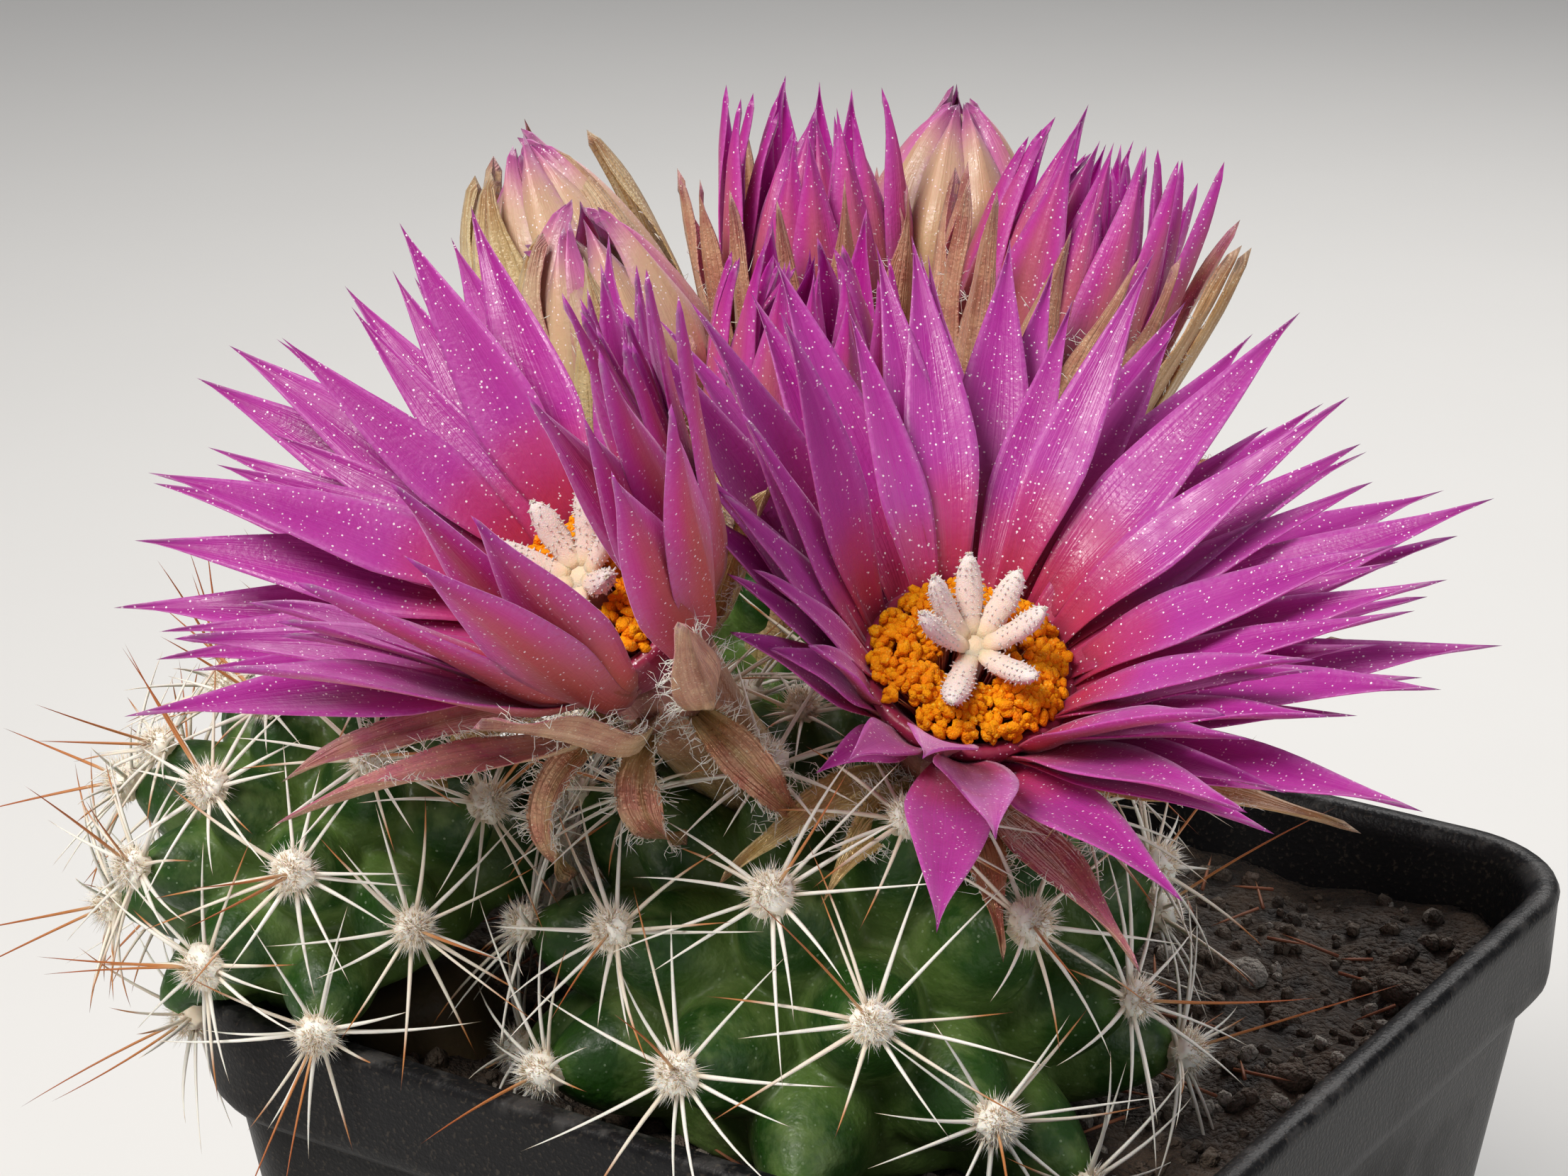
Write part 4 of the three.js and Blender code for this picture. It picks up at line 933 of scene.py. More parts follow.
def addStigma(pile, flower, matrix, rng, look):
    neck = look["neck"]
    profile = [(0, 1.25), (0.6, 1.25), (0.6, 3.5), (0.65, neck - 0.6), (0.95, neck), (0.9, neck + 0.35),
               (0, neck + 0.5)]
    style, faces, marks = turnedShell(profile, 16)
    marks[:, 1] = 0.1
    addShell(pile, moved(style, matrix), faces, marks)
    sides, stations = 12, 13
    for i in range(look["lobes"]):
        turn = (i + spreadBy(flower["seed"] + 5, i, 0.14)) / look["lobes"] * 2 * math.pi
        droop = look["droop"] * max(0, -math.sin(turn)) ** 2
        opening = math.radians(look["open"] + droop + spreadBy(flower["seed"] + 6, i, 8))
        t = np.linspace(0, 1, stations)
        span = look["long"] * (0.92 + 0.16 * rng.random())
        angle = opening + 0.35 - 0.5 * t  # springs out, then turns up a little
        r = 0.25 + np.cumsum(np.sin(angle)) * span / stations
        z = neck + np.cumsum(np.cos(angle)) * span / stations
        wide = look["radius"] * (0.74 + 0.3 * np.sin(t * 2.7)) * np.clip(1.03 - t ** 7, 0.05, 1) ** 0.6
        wide[-1] = 0.1
        ring = np.arange(sides) * 2 * math.pi / sides
        bumps = 1 + 0.09 * (rng.random((stations, sides)) * 2 - 1)
        flat = 0.8 + 0.2 * np.abs(np.sin(ring))
        off = wide[:, None] * bumps * np.cos(ring)[None] * 0.78
        side = wide[:, None] * bumps * np.sin(ring)[None] * flat[None] * 1.12
        rr = r[:, None] + off * np.cos(angle)[:, None]
        zz = z[:, None] - off * np.sin(angle)[:, None]
        places = aboutAxis(rr, side, zz, turn).reshape(-1, 3)
        marks = np.zeros((len(places), 4))
        marks[:, 1] = np.repeat(t, sides)
        marks[:, 2] = rng.random()
        faces = gridFaces(stations, sides) + ringCaps(stations, sides)
        addShell(pile, moved(places, matrix), faces, marks)
        # the velvet of fine papillae
        picks = rng.integers(sides * 3, len(places), look["fuzz"])
        centre = np.stack([r * math.cos(turn), r * math.sin(turn), z], axis=1)[picks // sides]
        out = unit(places[picks] - centre + rng.normal(0, 0.12, (look["fuzz"], 3)))
        ends = np.linspace(0, 1, 3)[None, :, None]
        lengths = 0.14 + 0.12 * rng.random((look["fuzz"], 1, 1))
        path = places[picks][:, None] - 0.05 * out[:, None] + out[:, None] * ends * lengths
        addTubes(pile, moved(path, matrix), [0.06, 0.05, 0.03], 3, rng.random(look["fuzz"]),
            np.ones(look["fuzz"]))


obstacles = newPile()  # what spines keep clear of


def noteObstacle(pile):
    start = obstacles["count"]
    obstacles["places"] += pile["places"]
    obstacles["faces"] += [tuple(start + i for i in face) for face in pile["faces"]]
    obstacles["count"] += pile["count"]


def buildFlower(name, flower):
    print("flower", name)
    matrix = flowerMatrix(flower)
    seed, kind = flower["seed"], flower["kind"]
    rng = np.random.default_rng(seed)
    petals = tepalsOf(flower, "petals", cornersOf(f"flower_{name}_petals"), matrix)
    sepals = tepalsOf(flower, "sepals", cornersOf(f"flower_{name}_sepals"), matrix)
    if kind == "open":
        own = petals
        petals = own + between(own, seed + 40, *gapShares["open"], flower.get("bare"))
        outer = [t for t in petals if t["ring"] > 0]
        petals += between(outer, seed + 60, *gapShares["openFine"], flower.get("bare", (268, 80)), 26)
    if kind == "half":
        petals += between(petals, seed + 40, *gapShares["half"])
        sepals += between(sepals, seed + 45, *gapShares["halfSepals"])
    if kind == "bud":
        petals += between(petals, seed + 40, *gapShares["bud"], None, 200)
        sepals += between(sepals, seed + 45, *gapShares["budSepals"])
        for i in range(budInner["count"]):  # closed over the belly
            key, length = 300 + i, budInner["length"] * flower["size"]
            opening = budInner["open"] + spreadBy(seed, key, 2)
            line = tepalLine(budInner["start"], budInner["springs"], opening, budInner["curl"], length)
            petals.append({"ring": 0, "key": key, "turn": i * 360 / budInner["count"] + 13, "length": length,
                           "width": budInner["width"] * flower["size"], "line": line})
    pile = newPile()
    for tepal in petals:
        flat, faces, marks, _ = tepalShell(tepal, petalShapes[kind], seed)
        addShell(pile, moved(flat, matrix), faces, marks)
    cup, faces, marks = cupShell(flower)
    marks[:, 1] = {"open": 0.06, "half": 0.2, "bud": 0.2 + 0.6 * marks[:, 1]}[kind]
    addShell(pile, moved(cup, matrix), faces, marks)
    skin = {"open": petalSkin, "half": backPetalSkin, "bud": budPetalSkin}[kind]
    makePiece(f"{name}FlowerPetals", pile, [skin], [f"flower_{name}_petals"])
    noteObstacle(pile)

    pile, hairs = newPile(), newPile()
    for tepal in sepals:
        small = tepal["ring"] == bractRing or (kind == "open" and tepal["length"] < bract["shortest"])
        if small and kind == "open":
            curl = tepal["curl"] + bract["droop"]
            tepal["line"] = tepalLine(tepal["start"], tepal["springs"], tepal["open"], curl, tepal["length"])
        shape = bractShape if small and kind == "open" else sepalShapes[kind]
        flat, faces, marks, places = tepalShell(tepal, shape, seed + 20)
        addShell(pile, moved(flat, matrix), faces, marks, 2 if small else 0)
        thick = fringe["back"] if kind != "open" else fringe["bract"] if small else fringe["sepal"]
        addFringe(hairs, moved(places, matrix), tepal["length"], rng, fringe, 1, thick)
    tube, faces, marks = tubeShell(flower)
    marks[:, 1] *= 0.3
    addShell(pile, moved(tube, matrix), faces, marks)
    noteObstacle(pile)
    for key in ("places", "marks", "slots"):
        pile[key] = pile[key] + hairs[key]
    pile["faces"] += [tuple(pile["count"] + i for i in face) for face in hairs["faces"]]
    skin = budSepalSkin if kind == "bud" else sepalSkin
    makePiece(f"{name}FlowerSepals", pile, [skin, fringeHair, bractSkin], [f"flower_{name}_sepals"])

    if kind != "bud":
        pile = newPile()
        addStamens(pile, matrix, np.random.default_rng(seed + 7), stamenLook[kind])
        makePiece(f"{name}FlowerStamens", pile, [pollen, filamentSkin], [f"flower_{name}_stamens"])
    if kind == "open":
        pile = newPile()
        addStigma(pile, flower, matrix, rng, stigmaLook)
        makePiece(f"{name}FlowerStigma", pile, [stigmaSkin], [f"flower_{name}_stigma"])


for name, flower in flowers.items():
    buildFlower(name, flower)

# heads

# Flesh colours: litCrest is a painted highlight on the tops of the tubercles and side a painted shade on their
# flanks.
fleshLook = {"groove": (0.078, 0.140, 0.028), "side": (0.016, 0.060, 0.006), "litCrest": (0.060, 0.135, 0.018),
    "bloom": (0.19, 0.27, 0.085), "rootBrown": (0.10, 0.07, 0.035)}


def buildFleshMaterial(look):
    material, tree, shader = newMaterial("fleshGreen")
    _, along, _, tone = marksOf(tree)
    here = objectPlace(tree)
    patch = placeGroup(tree, softMottle, {"Scale": 260.0, "Low": 0.35, "High": 0.7}, Place=here)
    # The colour follows the height on each tubercle: paler green low in the valleys, darker on the flanks as
    # painted shade, lighter on the crests as painted highlight.
    high = reckon(tree, "MULTIPLY_ADD", patch.outputs["Patch"], 0.22, reckon(tree, "SUBTRACT", along, 0.1))
    colour = ramp(tree, high, [(0.0, look["groove"]), (0.22, look["groove"]), (0.48, look["side"]),
        (0.75, look["side"]), (1.0, look["litCrest"])])
    cloud = placeGroup(tree, softMottle, {"Scale": 330.0, "Low": 0.5, "High": 0.72}, Place=here)
    colour = blend(tree, times(tree, cloud.outputs["Patch"], 0.55), colour, look["bloom"])
    specks = placeGroup(tree, fineSpecks, {"Density": 2600.0, "Size": 0.2, "Share": 0.4}, Place=here)
    dots = times(tree, specks.outputs["Mask"], times(tree, patch.outputs["Patch"], 0.4))
    colour = blend(tree, dots, colour, (0.50, 0.62, 0.42))
    colour = blend(tree, tone, colour, look["rootBrown"])
    join(tree, colour, shader.inputs["Base Color"])
    join(tree, stretched(tree, patch.outputs["Grain"], 0.3, 0.7, 0.36, 0.56), shader.inputs["Roughness"])
    raiseBump(tree, shader, reckon(tree, "MULTIPLY_ADD", specks.outputs["Mask"], 0.5, patch.outputs["Grain"]),
        0.35, 0.00025)
    setPlain(shader, {"Specular IOR Level": 0.38, "Subsurface Weight": 0.15,
        "Subsurface Radius": (0.4, 1.0, 0.2), "Subsurface Scale": 0.0015})
    return material


spineLook = {
    "base": 0.122, "central": 0.09, "bend": 0.17, "steps": 8,
    "white": [(0.0, (0.80, 0.70, 0.56)), (0.2, (0.88, 0.84, 0.76)), (0.8, (0.86, 0.82, 0.74)),
        (1.0, (0.70, 0.55, 0.40))],
    "tipped": [(0.0, (0.82, 0.72, 0.58)), (0.5, (0.84, 0.76, 0.64)), (0.78, (0.50, 0.20, 0.06)),
        (1.0, (0.16, 0.04, 0.012))],
    "brown": [(0.0, (0.66, 0.42, 0.22)), (0.25, (0.52, 0.20, 0.06)), (0.8, (0.38, 0.10, 0.025)),
        (1.0, (0.12, 0.03, 0.01))],
}


def buildSpineMaterial(look):
    material, tree, shader = newMaterial("spineHorn")
    _, along, chance, tone = marksOf(tree)
    white, tipped, brown = [ramp(tree, along, look[key]) for key in ("white", "tipped", "brown")]
    some = blend(tree, reckon(tree, "GREATER_THAN", chance, 0.72), white, tipped)
    colour = blend(tree, tone, some, brown)
    join(tree, colour, shader.inputs["Base Color"])
    grain = put(tree, "ShaderNodeTexNoise", {"Scale": 900.0})
    join(tree, objectPlace(tree), grain.inputs["Vector"])
    join(tree, stretched(tree, grain.outputs["Fac"], 0.3, 0.7, 0.3, 0.5), shader.inputs["Roughness"])
    setPlain(shader, {"Subsurface Weight": 0.1, "Subsurface Scale": 0.0004})
    return material


fleshSkin = buildFleshMaterial(fleshLook)
spineHorn = buildSpineMaterial(spineLook)
areoleWool = buildHairMaterial("areoleWool", (0.96, 0.78, 0.58), (0.98, 0.95, 0.88), 0.8)

stretch = 1.08
heads = {
    "front": {
        "base": (-3, -11.5), "lean": (0, 0), "core": 12.2, "rise": 18, "root": 7.5, "tubercles": 36,
        "reach": 5.8, "needle": 8.8, "seed": 11, "fine": 7, "spread": 103, "radials": 12, "centrals": 1,
        "brown": 0.5, "wool": 460,
    },
    "left": {
        "base": (-26.2, -5), "lean": (-0.42, 0.02), "core": 8.4, "rise": 19.5, "root": 4.4, "tubercles": 30,
        "reach": 4.4, "needle": 7.6, "seed": 23, "fine": 6, "spread": 112, "radials": 13, "centrals": 2,
        "brown": 0.6, "wool": 460, "tipped": 1.25,
    },
    "back": {
        "base": (-4, 21), "lean": (0, 0.02), "core": 11.2, "rise": 22, "root": 7, "tubercles": 34,
        "reach": 5.2, "needle": 8.4, "seed": 37, "fine": 6, "spread": 106, "radials": 11, "centrals": 1,
        "brown": 0.5, "wool": 300,
    },
}


def overCore(head, ways, heights):
    r = head["core"] + np.asarray(heights)[..., None]
    middle = head["rise"] - head["core"] * stretch
    return ways * r * [1, 1, stretch] + [0, 0, middle]


def turnedAbout(way, axis, angle):
    return np.array(Matrix.Rotation(angle, 3, Vector(axis)) @ Vector(way))


def tubercleSeats(head, corners, matrix):
    n = head["tubercles"]
    spread = math.radians(head["spread"])
    seats = []
    for i in range(n):
        share = ((i + 0.5) / n) ** 1.08
        polar = math.acos(1 - (1 - math.cos(spread)) * share)
        turn = i * goldenAngle + head["seed"]
        way = np.array([math.sin(polar) * math.sin(turn), -math.sin(polar) * math.cos(turn), math.cos(polar)])
        grown = 0.62 + 0.38 * float(smooth(polar / math.radians(55)))
        seats.append({"way": way, "polar": polar, "reach": head["reach"] * grown, "index": i})
    ways = np.array([s["way"] for s in seats])
    angles = np.arccos(np.clip(ways @ ways.T, -1, 1)) + np.eye(n) * 9
    for seat, row in zip(seats, angles):
        seat["apart"] = row.min()
        # how far out it stands: the solid has low tubercles where another head presses on it
        side = unit(np.cross([0, 0, 1], seat["way"]))
        votes = {}
        for share in (1, 0.75, 0.5, 0.25, 0.02):
            hits = 0
            for k in range(4):
                tilt = turnedAbout(side, seat["way"], (k + 0.5) * math.pi / 2)
                rim = turnedAbout(seat["way"], tilt, 0.14 * seat["apart"])
                spot = matrix @ Vector(overCore(head, rim, seat["reach"] * share))
                hits += corners.find(spot)[2] < nearTubercle
            votes[share] = hits
        best = max(votes, key=votes.get)
        seat["seen"] = votes[best] >= 2
        seat["reach"] *= best if votes[best] else 0.5
    return seats


# Which points lie inside a flower's cup or tube, or in the pot's wall.
def blocked(points):
    inside = np.zeros(len(points), bool)
    for flower in flowers.values():
        local = moved(points, flowerMatrix(flower).inverted())
        (lowR, _), (highR, highZ) = kinds[flower["kind"]]["cup"]
        z = local[:, 2]
        wide = np.where(z < 0, 3.5, lowR + (highR - lowR) * np.clip(z / highZ, 0, 1) + 0.35)
        if flower["kind"] == "bud":
            wide = np.where(z > 0, 3.4 * flower["size"] + 0.3, wide)
            highZ = 9
        inside |= (z > -2.5) & (z < highZ + 1.5) & (np.hypot(local[:, 0], local[:, 1]) < wide)
    row = moved(points, toPot)
    out = np.maximum(np.abs(row[:, 0]), np.abs(row[:, 1]))
    wall = (row[:, 2] < potTop + 0.3) & (out > wallFrom) & (out < wallTo)
    return inside | wall | ((row[:, 2] < potTop - 6) & (out > wallFrom))


headBodies = []


def buildFlesh(name, head):
    matrix = standing((*head["base"], soilTop), (*head["lean"], 1))
    seats = tubercleSeats(head, cornersOf(f"head_{name}"), matrix)
    print(f"head {name}: {sum(s['seen'] for s in seats)} of {len(seats)} tubercles found")
    points, faces = ballShape(head["fine"])
    ways = unit(points)
    tips = np.array([s["way"] for s in seats])
    reach = np.array([s["reach"] for s in seats])
    apart = np.array([s["apart"] for s in seats])
    angle = np.arccos(np.clip(ways @ tips.T, -1, 1))
    t = np.clip((angle / np.maximum(apart, 0.34) - 0.07) / 0.58, 0, 1)
    each = reach * (1 - t ** 1.3)
    order = np.sort(each, axis=1)
    best, second = order[:, -1], order[:, -2]
    polar = np.degrees(np.arccos(np.clip(ways[:, 2], -1, 1)))
    bare = -0.42 * head["core"] * smooth((polar - head["spread"] - 4) / 26)
    # soft valleys between the cones
    height = (best + second) / 2 + np.sqrt((best - second) ** 2 + 0.5) / 2 - 0.45 + bare
    ripple = np.array([noise.noise(Vector(w) * 9 + Vector((head["seed"], 0, 0))) for w in ways]) * 0.16
    height = height + ripple
    for _ in range(26):
        places = moved(overCore(head, ways, height), matrix)
        height = height - 0.3 * (blocked(places) & (height > -4))
    places = moved(overCore(head, ways, height), matrix)
    marks = np.zeros((len(places), 4))
    marks[:, 0] = np.cos(angle.argmin(axis=1))
    marks[:, 1] = np.clip(height / reach[angle.argmin(axis=1)], 0, 1)
    marks[:, 2] = (angle.argmin(axis=1) * 0.618) % 1
    marks[:, 3] = smooth((polar - head["spread"] - 12) / 24) * 0.8
    pile = newPile()
    addShell(pile, places, faces, marks)
    r = head["root"]
    profile = [(0, -14), (r * 0.75, -14), (r, -1), (r, 2), (r * 0.9, 4), (0, 4)]
    root, rootFaces, rootMarks = turnedShell(profile, 32, 0.03, head["seed"])
    rootMarks[:, 3] = 1
    addShell(pile, moved(root, matrix), rootFaces, rootMarks)
    makePiece(f"{name}HeadFlesh", pile, [fleshSkin], [f"head_{name}"])
    headBodies.append((name, BVHTree.FromPolygons([Vector(p) for p in places], faces)))
    return matrix, seats


woolLook = {"long": 0.7, "radius": 0.034, "pad": 1.05, "lift": 0.45}


def buildSpines(name, head, matrix, seats, flowerTree):
    rng = np.random.default_rng(head["seed"])
    spines, wool = newPile(), newPile()
    turnOnly = np.array(matrix)[:3, :3]
    tips = [moved(overCore(head, s["way"], s["reach"])[None], matrix)[0] for s in seats]
    for seat, tip in zip(seats, tips):
        if seat["reach"] < 1 or blocked(tip[None])[0]:
            continue
        flesh = next(tree for other, tree in headBodies if other == name)
        outward = turnOnly @ unit(seat["way"] + [0, 0, 0.12])
        hit = flesh.ray_cast(Vector(tip + outward * 4), Vector(-outward), 9)
        if hit[0] is None:
            continue
        seatAt = np.array(hit[0])
        if (seatAt - tip) @ outward < -1.2 or flowerTree.find_nearest(Vector(seatAt))[3] < 0.8:
            continue
        side = unit(np.cross([0, 0, 1.0], outward))
        upper = np.cross(outward, side)
        # wool: a soft pad with hairs over it
        pad = woolLook["pad"] * (0.85 + 0.3 * rng.random()) * (0.75 + 0.25 * min(1, seat["reach"] / 4))
        middle = seatAt + outward * woolLook["lift"]
        addLumps(wool, [middle], [np.array([pad, pad, pad * 0.8])], 0.22, rng, 3, ways=[outward])
        count = head["wool"]
        aim = unit(rng.normal(0, 1, (count, 3)) + outward * 0.7)
        aim = unit(aim + outward * np.maximum(0, -0.1 - aim @ outward)[:, None])
        start = middle + aim * pad * 0.85
        swing = unit(rng.normal(0, 1, (count, 3)))
        span = woolLook["long"] * (0.45 + 0.75 * rng.random((count, 1)))
        path = np.stack([start, start + (aim + swing * 0.6) * span], axis=1)
        addTubes(wool, path, woolLook["radius"] * np.array([1, 0.4]), 3, rng.random(count), np.zeros(count))
        # spines: radials spread round the pad, centrals stand out
        total = head["radials"] + head["centrals"]
        young = 0.8 + 0.2 * min(1, seat["polar"] / 0.9)
        for k in range(total):
            central = k >= head["radials"]
            around = (k / head["radials"] + (0.37 if central else 0)) * 2 * math.pi
            around = around + rng.normal(0, 0.2) + seat["index"]
            lift = math.radians(rng.uniform(40, 72) if central else rng.uniform(6, 26))
            level = side * math.cos(around) + upper * math.sin(around)
            way = level * math.cos(lift) + outward * math.sin(lift)
            span = head["needle"] * young * (rng.uniform(1.0, 1.25) if central else rng.uniform(0.66, 1.05))
            start = seatAt + outward * (0.5 if central else 0.12) + way * 0.7 * pad
            free = span
            trees = [flowerTree, potTree] + [tree for other, tree in headBodies if other != name]
            for tree in trees:
                hit = tree.ray_cast(Vector(start), Vector(way), span + 0.6)
                if hit[0] is not None:
                    free = min(free, hit[3] - 0.5)
            if free < span * 0.4:
                continue
            t = np.linspace(0, 1, spineLook["steps"])[:, None]
            droop = outward * (0 if central else 0.9)
            sag = (unit(rng.normal(0, 1, 3)) * 0.5 - droop) * spineLook["bend"] * free
            path = start + way * free * t + sag * t ** 2
            thick = (spineLook["central"] if central else spineLook["base"]) * (0.85 + 0.3 * rng.random())
            taper = thick * np.clip(1.06 - t[:, 0] ** 1.5, 0.12, 1)
            brown = central and rng.random() < head["brown"] + 0.35
            chance = rng.random() * head.get("tipped", 1.0)
            addTubes(spines, path[None], taper[None], 5, [chance], [1.0 if brown else 0.0])
    makePiece(f"{name}HeadSpines", spines, [spineHorn])
    makePiece(f"{name}HeadWool", wool, [areoleWool])


grownHeads = {name: buildFlesh(name, head) for name, head in heads.items()}
flowerTree = BVHTree.FromPolygons([Vector(p) for p in np.concatenate(obstacles["places"])], obstacles["faces"])
print("heads built")

# pot and soil

potSize = {"rim": 60, "height": 54, "base": 44, "neck": 56.8, "collar": 6, "wall": 1.5, "floor": 2.2,
    "corner": 8, "drain": 3, "drainAt": 11}


def squareLoop(width, corner, z, steps=12):
    loop = []
    for side in range(4):
        middle = math.radians(side * 90 + 45)
        out = (width / 2 - corner) * math.sqrt(2)
        for step in range(steps + 1):
            angle = math.radians((side + step / steps) * 90)
            x = out * math.cos(middle) + corner * math.cos(angle)
            loop.append((x, out * math.sin(middle) + corner * math.sin(angle), z))
    return loop


def innerWidth(z):
    low = potSize["base"] - 2 * potSize["wall"]
    high = potSize["rim"] - 2 * potSize["wall"] - 1
    return low + (high - low) * z / potSize["height"]


def buildPot(size, material):
    foot = size["height"] - size["collar"]
    c = size["corner"]
    top = size["height"]
    base, neck, rim, floor = size["base"], size["neck"], size["rim"], size["floor"]
    rows = [  # width, corner and height, up the outside, over the rim and down the inside
        (base - 1.2, c - 2.4, 0), (base - 0.3, c - 2.1, 0.25), (base, c - 2, 0.8),
        (neck - 0.1, c - 1, foot - 1.4), (neck, c - 1, foot - 0.9),
        (rim - 1.2, c - 0.2, foot - 0.35), (rim - 0.6, c, foot + 0.1), (rim - 0.4, c, foot + 0.8),
        (rim - 0.1, c, top - 1.0), (rim, c, top - 0.55), (rim - 0.25, c, top - 0.18),
        (rim - 0.8, c - 0.4, top), (rim - 2.4, c - 1.2, top), (rim - 3.2, c - 1.6, top - 0.25),
        (innerWidth(top - 1), c - 2, top - 1.2), (innerWidth(floor + 1), c - 3, floor + 1.2),
        (innerWidth(floor) - 1.2, c - 3.4, floor),
    ]
    loops = [squareLoop(*row) for row in rows]
    points = len(loops[0])
    places = np.array([p for loop in loops for p in loop])
    faces = gridFaces(len(loops), points) + ringCaps(len(loops), points)
    pile = newPile()
    marks = np.zeros((len(places), 4))
    marks[:, 1] = places[:, 2] / top
    addShell(pile, places, faces, marks)
    pot = makePiece("nurseryPot", pile, [material], ["pot"], onPlant=False)
    cutter = newPile()
    drain, at = size["drain"], size["drainAt"]
    hole, holeFaces, holeMarks = turnedShell([(0, -4), (drain, -4), (drain, 6), (0, 6)], 32)
    for x in (-at, at):
        for y in (-at, at):
            addShell(cutter, hole + [x, y, 0], holeFaces, holeMarks)
    mesh = bpy.data.meshes.new("drainCutter")
    mesh.from_pydata((np.concatenate(cutter["places"]) * 0.001).tolist(), [], cutter["faces"])
    faceOutward(mesh)
    tool = bpy.data.objects.new("drainCutter", mesh)
    scene.collection.objects.link(tool)
    cut = pot.modifiers.new("drains", "BOOLEAN")
    cut.object, cut.operation, cut.solver = tool, "DIFFERENCE", "EXACT"
    whole = bpy.data.meshes.new_from_object(pot.evaluated_get(bpy.context.evaluated_depsgraph_get()))
    pot.modifiers.clear()
    pot.data = whole
    whole.name = "nurseryPot"
    bpy.data.objects.remove(tool)
    whole.polygons.foreach_set("use_smooth", [True] * len(whole.polygons))
    edges = bmesh.new()
    edges.from_mesh(whole)
    for edge in edges.edges:
        edge.smooth = not (len(edge.link_faces) == 2 and edge.calc_face_angle(0) > math.radians(40))
    edges.to_mesh(whole)
    edges.free()
    return BVHTree.FromPolygons([Vector(p) for p in moved(places, toPlant)], faces)


potLook = {"plastic": (0.008, 0.008, 0.009), "haze": (0.020, 0.018, 0.016), "rimPaler": (0.12, 0.115, 0.11),
    "dust": (0.14, 0.11, 0.08)}


def buildPotMaterial(look):
    material, tree, shader = newMaterial("potPlastic")
    here = objectPlace(tree)
    patch = placeGroup(tree, softMottle, {"Scale": 60.0, "Low": 0.42, "High": 0.7}, Place=here)
    scuff = placeGroup(tree, softMottle, {"Scale": 420.0, "Low": 0.5, "High": 0.62}, Place=here)
    parts = put(tree, "ShaderNodeSeparateXYZ")
    join(tree, here, parts.inputs[0])
    # Lighter grey patches along the top of the rim.
    rim = stretched(tree, parts.outputs[2], 0.0530, 0.0540)
    rimPaler = times(tree, rim, scuff.outputs["Patch"])
    colour = blend(tree, times(tree, patch.outputs["Patch"], 0.35), look["plastic"], look["haze"])
    colour = blend(tree, times(tree, rimPaler, 0.35), colour, look["rimPaler"])
    dust = times(tree, stretched(tree, scuff.outputs["Grain"], 0.56, 0.72), 0.22)
    colour = blend(tree, dust, colour, look["dust"])
    join(tree, colour, shader.inputs["Base Color"])
    join(tree, stretched(tree, patch.outputs["Patch"], 0.0, 1.0, 0.38, 0.62), shader.inputs["Roughness"])
    raiseBump(tree, shader, scuff.outputs["Grain"], 0.25, 0.0002)
    setPlain(shader, {"Specular IOR Level": 0.12})
    return material


soilLook = {
    "grains": 1100, "grainSize": (0.2, 0.85), "pebbles": 22, "pebbleSize": 1.5, "straws": 90,
    "dark": (0.016, 0.011, 0.008), "light": (0.075, 0.048, 0.030), "stained": (0.05, 0.038, 0.03),
    "stones": [(0.0, (0.05, 0.035, 0.025)), (0.35, (0.16, 0.12, 0.085)), (0.6, (0.10, 0.065, 0.045)),
        (0.82, (0.30, 0.27, 0.23)), (1.0, (0.52, 0.48, 0.42))],
}


def buildSoilMaterial(look):
    material, tree, shader = newMaterial("soilGrit")
    _, _, chance, tone = marksOf(tree)
    here = objectPlace(tree)
    patch = placeGroup(tree, softMottle, {"Scale": 300.0, "Low": 0.35, "High": 0.65}, Place=here)
    earth = blend(tree, patch.outputs["Patch"], look["dark"], look["light"])
    stone = ramp(tree, chance, look["stones"], False)
    stone = blend(tree, times(tree, patch.outputs["Grain"], 0.5), stone, look["stained"])
    colour = blend(tree, tone, earth, stone)
    join(tree, colour, shader.inputs["Base Color"])
    join(tree, stretched(tree, patch.outputs["Grain"], 0.3, 0.7, 0.7, 0.95), shader.inputs["Roughness"])
    raiseBump(tree, shader, patch.outputs["Grain"], 1.0, 0.0006)
    return material


def soilHeight(x, y):
    swell = 0.5 * math.sin(x * 0.31 + 0.8) * math.cos(y * 0.27 - 0.4)
    return soilTop + swell + 0.25 * math.sin(x * 0.9 + y * 0.7)


